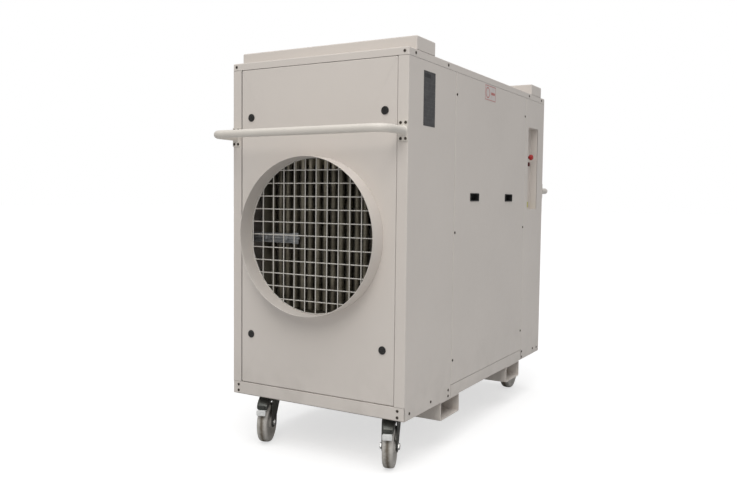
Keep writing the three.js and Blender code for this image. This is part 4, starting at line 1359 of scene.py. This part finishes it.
# ------------------------------------------------------------------ sensor bracket
# A galvanised angle reaches in from the left, in front of the heater, with two saddle clamps, a capillary
# tube and hexagon screws.
low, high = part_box("heater_bracket")
CLAMP_X = (-0.265, -0.165)
BRACKET_SCREW_X = (-0.305, -0.215, -0.125)
angle_line = filleted(
    [(high.y - 0.001, high.z), (high.y - 0.001, low.z + 0.0012), (low.y, low.z + 0.0012)],
    0.003,
    closed=False,
)
shells = [skin(lay(thick_line(angle_line, 0.002), X, [low.x, high.x]))]
face = high.y - 0.002
for x in CLAMP_X:
    saddle = [
        (x - 0.02, face),
        (x - 0.009, face),
        (x - 0.006, face - 0.011),
        (x + 0.006, face - 0.011),
        (x + 0.009, face),
        (x + 0.02, face),
    ]
    outline = thick_line(filleted(saddle, 0.004, closed=False), 0.0016)
    shells.append(skin(lay(outline, Z, [low.z + 0.012, high.z - 0.01])))
    shells += [
        screw((x + dx, face - 0.0008, low.z + 0.019), Y, -1, 0.0045, 0.003) for dx in (-0.015, 0.015)
    ]
shells += [screw((x, face, high.z - 0.009), Y, -1, 0.005, 0.0035) for x in BRACKET_SCREW_X]
shells.append(
    rod(
        (low.x + 0.02, face - 0.006, low.z + 0.019),
        (high.x + 0.012, face - 0.006, low.z + 0.019),
        0.0045,
        12,
    )
)
shells.append(
    plate(rectangle((-0.135, low.z - 0.004), (-0.108, high.z + 0.004), 0.003), Y, face - 0.006, face)
)
piece("sensor_bracket", shells, galvanised, "cabinet", ["heater_bracket"])


# ------------------------------------------------------------------ fan
# An axial fan behind the heater: a galvanised bulkhead with a rolled cowl, a finned motor on three arms, and
# a cast aluminium wheel of seven twisted blades.
bulk_low, bulk_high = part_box("fan_bulkhead")
wheel_low, wheel_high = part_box("fan_wheel")
FAN_BORE = 0.29
BULK_WALL = 0.003
edge = box_outline(bulk_low, bulk_high, Y, 0.002, steps=6)
dense = finely(edge, 29)
away = dense - np.array([0, outlet_z])
away /= np.linalg.norm(away, axis=1)[:, None]
ROLL = 0.012


def bore(radius, y):
    """A circle round the fan's axis, with a point in the direction of each point of the bulkhead's edge."""
    return lay(np.array([0, outlet_z]) + radius * away, Y, y)


loops = [lay(dense, Y, bulk_low.y), bore(FAN_BORE + ROLL, bulk_low.y)]
for a in np.linspace(0.3, 1.57, 4):
    loops.append(bore(FAN_BORE + ROLL * (1 - math.sin(a)), bulk_low.y + ROLL * (1 - math.cos(a))))
loops += [
    bore(FAN_BORE, bulk_high.y - 0.001),
    bore(FAN_BORE + 0.001, bulk_high.y),
    bore(FAN_BORE + BULK_WALL, bulk_high.y),
]
loops += [bore(FAN_BORE + BULK_WALL, bulk_low.y + ROLL), bore(FAN_BORE + 0.014, bulk_low.y + BULK_WALL)]
loops.append(lay(dense, Y, bulk_low.y + BULK_WALL))
piece(
    "fan_cowl_sheet", [skin(np.concatenate(loops), wrap=True)], galvanised, "cabinet", ["fan_bulkhead"],
)

motor_paint = grained(
    "motor_enamel",
    (0.022, 0.026, 0.031, 1),
    (0.013, 0.015, 0.018, 1),
    12.0,
    (0.35, 0.55),
    relief=(0.15, 0.0004),
    fine=500.0,
    rubbed=(0.12, 0.12, 0.12, 1),
)
motor_low, motor_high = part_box("fan_motor")
MOTOR_FINS = 40
angles = np.linspace(0, 2 * math.pi, 4 * MOTOR_FINS, endpoint=False)
comb = np.where(np.arange(4 * MOTOR_FINS) % 4 < 2, 1.0, 0.86)
ribbed = np.array([0, outlet_z]) + 0.1 * (comb * np.stack([np.cos(angles), np.sin(angles)])).T
motor_front = bulk_high.y - 0.02
shells = [skin(lay(ribbed, Y, [motor_front + 0.022, motor_high.y - 0.03]))]
end_rows = [
    (motor_front, 0.03), (motor_front, 0.08), (motor_front + 0.006, 0.094), (motor_front + 0.012, 0.0975)
]
end_rows += [(motor_front + 0.026, 0.0975), (motor_front + 0.026, 0.03)]
shells.append(spun(end_rows, Y, (0, 0, outlet_z), 64))
tail = motor_high.y
tail_rows = [
    (tail - 0.032, 0.03),
    (tail - 0.032, 0.0965),
    (tail - 0.012, 0.0965),
    (tail - 0.003, 0.088),
    (tail, 0.07),
    (tail, 0.02),
]
shells.append(spun(tail_rows, Y, (0, 0, outlet_z), 64))
shells.append(rod((0, motor_front + 0.004, outlet_z), (0, motor_low.y + 0.002, outlet_z), 0.012, 24))
terminal_box = rectangle((-0.045, outlet_z + 0.088), (0.045, outlet_z + 0.128), 0.006)
shells.append(plate(terminal_box, Y, motor_front + 0.06, motor_front + 0.125, edge=0.004))
for a in (math.pi / 2, math.pi * 7 / 6, math.pi * 11 / 6):
    start, end = (
        (r * math.cos(a), motor_front + 0.004, outlet_z + r * math.sin(a)) for r in (0.08, FAN_BORE - 0.002)
    )
    shells.append(rod(start, end, 0.009, 16))
piece("finned_motor", shells, motor_paint, "cabinet", ["fan_motor"], smooth=35)

cast_aluminium = grained(
    "cast_aluminium", (
        0.56, 0.57, 0.575, 1
    ), (0.42, 0.43, 0.44, 1), 18.0, (0.32, 0.52), relief=(0.2, 0.0005), fine=420.0, metallic=0.8
)
FAN_BLADES = 7
HUB_RADIUS = 0.08
wheel_y = (wheel_low.y + wheel_high.y) / 2


def fan_blade(turn, stations=16, chord=14):
    """A twisted blade: at each radius r a thin lens of points (s, t) along its chord and thickness. The chord
    leans from 40 degrees at the hub to 22 at the tip, and its middle is swept forward with r squared."""
    r = np.linspace(HUB_RADIUS - 0.008, wheel_high.x - 0.0005, stations)[:, None]
    share = (r - r[0]) / np.ptp(r)
    s = np.concatenate([np.linspace(-1, 1, chord), np.linspace(1, -1, chord)[1:-1]])[None]
    bulge = np.sqrt(np.maximum(1 - s**2, 0))
    t = np.concatenate([np.ones(chord), -np.ones(chord - 2)])[None] * bulge * 0.0035 - 0.006 * (1 - s**2)
    lean = np.radians(40 - 18 * share)
    half = 0.044 + 0.016 * share
    along_chord = s * half
    y = along_chord * np.sin(lean) * 0.92 + t * np.cos(lean)
    around = along_chord * np.cos(lean) - t * np.sin(lean)
    theta = turn + around / r + 0.22 * share**2
    return skin(np.stack([r * np.cos(theta), wheel_y + y, outlet_z + r * np.sin(theta)], -1))


hub_front = wheel_low.y
hub_rows = [
    (hub_front + 0.002, 0.0135),
    (hub_front, 0.02),
    (hub_front, 0.034),
    (hub_front + 0.004, 0.05),
    (hub_front + 0.014, 0.0745),
]
hub_rows += [
    (hub_front + 0.026, HUB_RADIUS),
    (wheel_high.y - 0.002, HUB_RADIUS),
    (wheel_high.y, HUB_RADIUS - 0.002),
    (wheel_high.y, 0.0135),
]
shells = [spun(hub_rows, Y, (0, 0, outlet_z), 64, wrap=True)]
shells += [fan_blade(turn) for turn in np.arange(FAN_BLADES) * 2 * math.pi / FAN_BLADES]
piece("fan_blades_and_hub", shells, cast_aluminium, "fan", ["fan_wheel"], smooth=50)


# ------------------------------------------------------------------ coils, drip tray and compressor
# The refrigeration set behind the fan: two finned coils with straight copper tubes and headers, a galvanised
# drip tray with a spout, and a hermetic compressor on rubber feet.
FIN_STEP = 0.004
copper = grained(
    "copper_tube", (0.62, 0.3, 0.17, 1), (0.42, 0.2, 0.12, 1), 25.0, (0.25, 0.5), metallic=0.9
)
fin_aluminium = grained(
    "fin_aluminium", (0.6, 0.61, 0.62, 1), (0.48, 0.49, 0.5, 1), 9.0, (0.3, 0.5), metallic=0.8
)
for name in ("evaporator", "condenser"):
    low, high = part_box(name + "_coil")
    y0, y1, z0, z1, half = low.y + 0.01, high.y - 0.01, low.z + 0.008, high.z - 0.008, high.x - 0.003
    fin_x = np.arange(-half + 0.004, half - 0.003, FIN_STEP)
    square = np.array([(y0, z0), (y1, z0), (y1, z1), (y0, z1)])
    shells = [skin(lay(square, X, [x, x + 0.0008])) for x in fin_x]
    tube_z = np.arange(z0 + 0.02, z1 - 0.01, 0.05)
    piece(name + "_fins", shells, fin_aluminium, "cabinet", [name + "_coil"], smooth=30)
    shells = [
        plate(box_outline(low, high, X, 0.003), X, side * half - 0.0015, side * half + 0.0015, edge=0.0004)
        for side in (-1, 1)
    ]
    piece(name + "_end_plates", shells, galvanised, "cabinet", ())
    shells = [
        rod((-half - 0.006, y, z), (half + 0.006, y, z), 0.006, 8)
        for z in tube_z
        for y in (y0 + 0.018, y1 - 0.018)
    ]
    header_x, header_y = low.x + 0.014, (y0 + y1) / 2
    shells.append(rod((header_x, header_y, z0 + 0.02), (header_x, header_y, z1 - 0.02), 0.013, 20))
    shells += [rod((header_x, header_y, z), (-half, header_y, z), 0.006, 8) for z in tube_z[::2]]
    piece(name + "_pipes", shells, copper, "cabinet", (), smooth=60)

tray_low, tray_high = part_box("drip_tray")
TRAY_WALL = 0.002
tray_back = tray_high.y - 0.012
tray_outline = rectangle((tray_low.x, tray_low.y), (tray_high.x, tray_back), 0.006)
rows = [
    (tray_low.z, 0.002),
    (tray_low.z + 0.002, 0.0),
    (tray_high.z, 0.0),
    (tray_high.z, TRAY_WALL),
    (tray_low.z + TRAY_WALL, TRAY_WALL),
]
shells = [skin(np.concatenate([lay(inset(tray_outline, amount), Z, z) for z, amount in rows]))]
shells.append(
    rod((0.12, tray_back - 0.003, tray_low.z + 0.01), (0.12, tray_high.y, tray_low.z + 0.01), 0.007, 20)
)
piece("condensate_tray", shells, galvanised, "cabinet", ["drip_tray"])

rubber = grained(
    "black_rubber",
    (0.022, 0.021, 0.02, 1),
    (0.014, 0.014, 0.013, 1),
    30.0,
    (0.65, 0.85),
    relief=(0.2, 0.0003),
)
pump_low, pump_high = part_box("compressor")
pump_x, pump_y = (pump_low.x + pump_high.x) / 2, (pump_low.y + pump_high.y) / 2
shell_low, shell_high = pump_low.z + 0.06, 0.605
band_low, band_high = 0.37, 0.38
body_radius, band_radius = 0.118, 0.1195
rows = [(shell_low, 0.03), (shell_low, 0.075), (shell_low + 0.014, 0.1), (shell_low + 0.04, 0.115)]
rows += [(shell_low + 0.06, body_radius), (band_low, body_radius), (band_low + 0.001, band_radius)]
rows += [(band_high - 0.001, band_radius), (band_high, body_radius), (0.53, body_radius), (0.565, 0.11)]
rows += [(0.59, 0.088), (shell_high, 0.04), (shell_high, 0.01)]
shells = [spun(rows, Z, (pump_x, pump_y, 0), 64)]
feet_outline = box_outline(pump_low, pump_high, Z, 0.03)
shells.append(plate(feet_outline, Z, shell_low - 0.006, shell_low, edge=0.001))
terminal_cover = rectangle((pump_x - 0.035, 0.4), (pump_x + 0.035, 0.48), 0.006)
shells.append(plate(terminal_cover, Y, pump_low.y, pump_low.y + 0.03, edge=0.004))
piece("hermetic_compressor", shells, motor_paint, "cabinet", ["compressor"])
FOOT_REACH = 0.095
foot_rows = [(pump_low.z, 0.017), (pump_low.z + 0.003, 0.019), (pump_low.z + 0.02, 0.014)]
foot_rows += [(pump_low.z + 0.035, 0.014), (shell_low - 0.006, 0.018)]
feet = [
    spun(foot_rows, Z, (pump_x + dx, pump_y + dy, 0), 24)
    for dx in (-FOOT_REACH, FOOT_REACH)
    for dy in (-FOOT_REACH, FOOT_REACH)
]
piece("compressor_feet", feet, rubber, "cabinet", ())
PIPE_RADIUS = 0.011
pipe_x, pipe_top = pump_x + 0.06, pump_high.z - PIPE_RADIUS
pipe_path = filleted(
    [(pipe_x, 0.57), (pipe_x, pipe_top), (pump_x + 0.01, pipe_top)], 0.03, closed=False, steps=8
)
piece(
    "discharge_pipe", [bent_tube(pipe_path, PIPE_RADIUS, Y, pump_y, 16)], copper, "cabinet", (),
    smooth=60,
)


# ------------------------------------------------------------------ castor finishes
# The forks are pressed steel with a dark passivated zinc; axles, nuts and pedals are bright zinc; the wheels
# are cast nylon with a line of floor dirt round the middle of the tread.
dark_zinc = grained(
    "dark_zinc",
    (0.115, 0.118, 0.108, 1),
    (0.06, 0.063, 0.058, 1),
    26.0,
    (0.28, 0.5),
    relief=(0.15, 0.0003),
    fine=700.0,
    metallic=0.75,
    rubbed=(0.3, 0.3, 0.28, 1),
)
pale_zinc = grained(
    "pale_zinc", (
        0.86, 0.87, 0.86, 1
    ), (0.72, 0.73, 0.73, 1), 80.0, (0.3, 0.5), metallic=0.12, rubbed=(0.9, 0.9, 0.89, 1)
)


CASTOR_TURN = math.radians(21)


def nylon(name, centre, turn):
    """Cast nylon for one wheel: the dirt is darkest where the distance from the wheel's own middle plane is
    least. The plane passes through the wheel's centre, square to its turned axle."""
    finish, tree, shader, clean = grain_shader(
        name, (0.62, 0.6, 0.565, 1), (0.46, 0.44, 0.41, 1), 22.0, (0.42, 0.62), (0.2, 0.0004), specular=0.4
    )
    place = object_place(tree)
    axle_line = (math.cos(turn), math.sin(turn), 0)
    reading = add_node(tree, "ShaderNodeVectorMath", {"operation": "DOT_PRODUCT"}, {0: place, 1: axle_line})
    offset = centre[0] * axle_line[0] + centre[1] * axle_line[1]
    from_middle = maths(tree, "ABSOLUTE", maths(tree, "SUBTRACT", reading.outputs["Value"], offset))
    ragged = maths(
        tree, "ADD", from_middle, ramp(tree, noise(tree, place, 90.0, 4.0), 0.3, 0.7, -0.002, 0.0025)
    )
    dirt = ramp(tree, ragged, 0.012, 0.002, 0.0, 0.9)
    scuff = ramp(tree, noise(tree, place, 60.0, 6.0), 0.55, 0.72, 0.0, 0.4)
    color = blend(tree, scuff, clean, (0.33, 0.295, 0.255, 1))
    tree.links.new(blend(tree, dirt, color, (0.13, 0.105, 0.075, 1)), shader.inputs["Base Color"])
    return finish


def swung(shell, centre, turn=CASTOR_TURN):
    """A shell turned about an upright line through a centre, by the plane rotation of x and y."""
    vertices, quads, caps = shell
    c, s = math.cos(turn), math.sin(turn)
    x, y = (vertices[:, k] - centre[k] for k in (0, 1))
    turned_points = np.stack([centre[0] + c * x - s * y, centre[1] + s * x + c * y, vertices[:, 2]], -1)
    return turned_points, quads, caps


def hex_nut(centre, along, low, high, across):
    """A hexagon nut: six-sided outlines along an axis, drawn in at both rims, with the flats' distance from
    the axis equal to half of `across`."""
    angles = np.arange(6) * math.pi / 3
    corners = across / math.sqrt(3) * np.stack([np.cos(angles), np.sin(angles)], -1)
    first, second = [k for k in range(3) if k != along]
    rows = [(low, 0.9), (low + 0.0012, 1.0), (high - 0.0012, 1.0), (high, 0.9)]
    return skin(
        np.concatenate(
            [
                lay(corners * share + np.array([centre[first], centre[second]]), along, at)
                for at, share in rows
            ]
        )
    )


# ------------------------------------------------------------------ castor wheels and axles
# Solid nylon wheels with a rounded tread and dished sides turn on a bolt through the fork, with a head at one
# end and a nut at the other.
CHEEK_IN, CHEEK_OUT = 0.026, 0.03
AXLE_HALF = 0.038
half_rows = [
    (-0.023, 0.0105),
    (-0.023, 0.0205),
    (-0.0218, 0.0222),
    (-0.017, 0.024),
    (-0.0142, 0.027),
    (-0.0139, 0.054),
]
half_rows += [
    (-0.017, 0.0585),
    (-0.0202, 0.061),
    (-0.0209, 0.064),
    (-0.0209, 0.0715),
    (-0.0193, 0.0758),
    (-0.015, 0.0786),
]
half_rows += [(-0.008, 0.0798), (0, 0.08)]
wheel_rows = np.array(half_rows + [(-dx, r) for dx, r in half_rows[-2::-1]])
for end_name, turn in (("front", CASTOR_TURN), ("rear", 0.0)):
    for side_name in ("right", "left"):
        name = f"{end_name}_{side_name}"
        centre = middle(*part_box("castor_wheel_" + name))
        rows = wheel_rows + np.array([centre[0], 0])
        piece(
            "nylon_wheel_" + name, [swung(spun(rows, X, centre, 96, wrap=True), centre, turn)],
            nylon("nylon_" + name, centre, turn), f"{end_name}_wheel_{side_name}",
            ["castor_wheel_" + name], smooth=50,
        )
        inside, outside = centre[0] - CHEEK_OUT, centre[0] + CHEEK_OUT
        bolt_ends = [(centre[0] + way * AXLE_HALF, centre[1], centre[2]) for way in (-1, 1)]
        shells = [rod(*bolt_ends, 0.0065, 24)]
        for near, far in ((inside - 0.0078, inside - SEAM), (outside + SEAM, outside + 0.0078)):
            shells.append(hex_nut(centre, X, near, far, 0.021))
        for near, far in ((inside - 0.0014, inside - SEAM), (outside + SEAM, outside + 0.0014)):
            shells.append(spun([(near, 0.012), (near + 0.0002, 0.0126), (far, 0.0126)], X, centre, 32))
        piece(
            "axle_bolt_" + name, [swung(shell, centre, turn) for shell in shells], bright_steel,
            "castor_" + side_name if end_name == "front" else "cabinet", ["castor_axle_" + name],
        )


# ------------------------------------------------------------------ swivel forks and brakes
# Each front castor has a bolted top plate and ball race, a pressed fork whose cheeks run down to the axle, a
# rounded brake housing in front, and a bent pedal whose tread tab hangs before the wheel.
HOOD_STEPS = [(-0.03, 0.024, 0.168, 0.1895), (-0.07, 0.024, 0.167, 0.1895), (-0.088, 0.024, 0.1645, 0.184)]
HOOD_STEPS += [
    (-0.103, 0.0235, 0.154, 0.1735), (-0.1115, 0.022, 0.147, 0.1665), (-0.115, 0.019, 0.148, 0.161)
]
PEDAL_HALF = 0.016
PEDAL_LOW, PEDAL_TOP = 0.127, 0.149
PLATE_THICK = 0.005


def plate_nuts(x, y, top):
    """The four nuts under a top plate, at the corners of its bolt pattern of 104 by 76 mm."""
    low, high = top - 0.0115, top - PLATE_THICK
    return [
        hex_nut((x + dx, y + dy, 0), Z, low, high, 0.013)
        for dx in (-0.052, 0.052)
        for dy in (-0.038, 0.038)
    ]


def cheek(points, radius, low, high):
    """A fork cheek: a filleted outline of (y, z) points, carried across the cheek's thickness."""
    return plate(filleted(points, radius, steps=6), X, low, high, edge=0.001)


for side_name in ("right", "left"):
    low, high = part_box("castor_plate_" + side_name)
    swivel_x, swivel_y = (low.x + high.x) / 2, (low.y + high.y) / 2
    centre = (swivel_x, swivel_y, 0)
    top = high.z
    shells = [plate(box_outline(low, high, Z, 0.009), Z, top - PLATE_THICK, top - 0.0001, edge=0.001)]
    race = [
        (top - 0.0125, 0.03),
        (top - 0.012, 0.0335),
        (top - 0.0075, 0.0375),
        (top - 0.0055, 0.0385),
        (top - 0.004, 0.0385),
    ]
    shells.append(spun(race, Z, centre, 64))
    shells.append(rod((swivel_x, swivel_y, low.z), (swivel_x, swivel_y, top - 0.004), 0.0078, 20))
    shells += plate_nuts(swivel_x, swivel_y, top)
    piece(
        "castor_top_plate_" + side_name, shells, dark_zinc, "cabinet", ["castor_plate_" + side_name],
    )

    wheel_centre = middle(*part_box("castor_wheel_front_" + side_name))
    axle_y, axle_z = swivel_y - math.dist(wheel_centre[:2], centre[:2]), wheel_centre[2]
    crown_rows = [
        (0.1755, 0.012),
        (0.1755, 0.034),
        (0.177, 0.0395),
        (0.181, 0.042),
        (0.1845, 0.0415),
        (0.187, 0.0385),
        (0.1876, 0.036),
        (0.1876, 0.012),
    ]
    shells = [spun(crown_rows, Z, centre, 64, wrap=True)]
    cheek_points = [
        (swivel_y + 0.04, 0.183),
        (swivel_y + 0.038, 0.148),
        (axle_y + 0.02, axle_z - 0.004),
        (axle_y + 0.012, axle_z - 0.02),
        (axle_y - 0.012, axle_z - 0.02),
        (axle_y - 0.02, axle_z - 0.004),
        (swivel_y - 0.064, 0.15),
        (swivel_y - 0.06, 0.183),
    ]
    for way in (-1, 1):
        edges = sorted((swivel_x + way * CHEEK_IN, swivel_x + way * CHEEK_OUT))
        shells.append(cheek(cheek_points, 0.011, *edges))
    bridge = rectangle(
        (swivel_x - CHEEK_OUT, swivel_y - 0.05), (swivel_x + CHEEK_OUT, swivel_y + 0.036), 0.006
    )
    shells.append(plate(bridge, Z, 0.1765, 0.1815, edge=0.0012))
    hood = [
        lay(rectangle((swivel_x - half, low), (swivel_x + half, high), 0.008, steps=5), Y, swivel_y + dy)
        for dy, half, low, high in HOOD_STEPS
    ]
    shells.append(skin(np.concatenate(hood)))
    shells = [swung(shell, centre) for shell in shells]
    piece(
        "castor_fork_and_brake_" + side_name, shells, dark_zinc, "castor_" + side_name,
        ["castor_fork_" + side_name],
    )
    plug_face = swivel_y + HOOD_STEPS[-1][0]
    plug = spun(
        [(plug_face - 0.0004, 0.0034), (plug_face + 0.001, 0.0034)], Y, (swivel_x + 0.012, 0, 0.1575), 20
    )
    plug_name = "brake_housing_plug_" + side_name
    piece(plug_name, [swung(plug, centre)], rubber, "castor_" + side_name, ())

    pivot, tab_y = swivel_y - 0.056, swivel_y - 0.131
    lever = [
        (pivot, 0.1635), (pivot - 0.029, 0.1605), (-0.1125 + swivel_y, 0.1445), (tab_y + 0.003, 0.1435)
    ]
    outline = thick_line(filleted(lever, 0.006, closed=False, steps=7), 0.0045)
    shells = [plate(outline, X, swivel_x - PEDAL_HALF, swivel_x + PEDAL_HALF, edge=0.0008)]
    tab_half = PEDAL_HALF + 0.0025
    tab = rectangle((swivel_x - tab_half, PEDAL_LOW), (swivel_x + tab_half, PEDAL_TOP), 0.005)
    shells.append(plate(tab, Y, tab_y + 0.0006, tab_y + 0.0062, edge=0.0015))
    ridge_ends = [swivel_x + way * (PEDAL_HALF - 0.002) for way in (-1, 1)]
    shells += [
        rod(*((x, tab_y + 0.0012, z) for x in ridge_ends), 0.0012, 8) for z in (0.1325, 0.138, 0.1435)
    ]
    shells = [swung(shell, centre) for shell in shells]
    piece(
        "brake_tread_" + side_name, shells, pale_zinc, "brake_" + side_name, ["brake_pedal_" + side_name],
    )


# ------------------------------------------------------------------ rear castor brackets
# The rear castors don't swivel: a bolted top plate with two straight cheeks pressed down from it.
for side_name in ("right", "left"):
    low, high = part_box("castor_bracket_" + side_name)
    centre_x, centre_y = (low.x + high.x) / 2, (low.y + high.y) / 2
    top = high.z
    shells = [plate(box_outline(low, high, Z, 0.009), Z, top - PLATE_THICK, top - 0.0001, edge=0.001)]
    points = [
        (centre_y + 0.044, top - 0.003),
        (centre_y + 0.021, 0.075),
        (centre_y + 0.012, 0.06),
        (centre_y - 0.012, 0.06),
        (centre_y - 0.021, 0.075),
        (centre_y - 0.044, top - 0.003),
    ]
    for way in (-1, 1):
        edges = sorted((centre_x + way * CHEEK_IN, centre_x + way * CHEEK_OUT))
        shells.append(cheek(points, 0.01, *edges))
    shells += plate_nuts(centre_x, centre_y, top)
    piece(
        "fixed_castor_bracket_" + side_name, shells, dark_zinc, "cabinet",
        ["castor_bracket_" + side_name],
    )
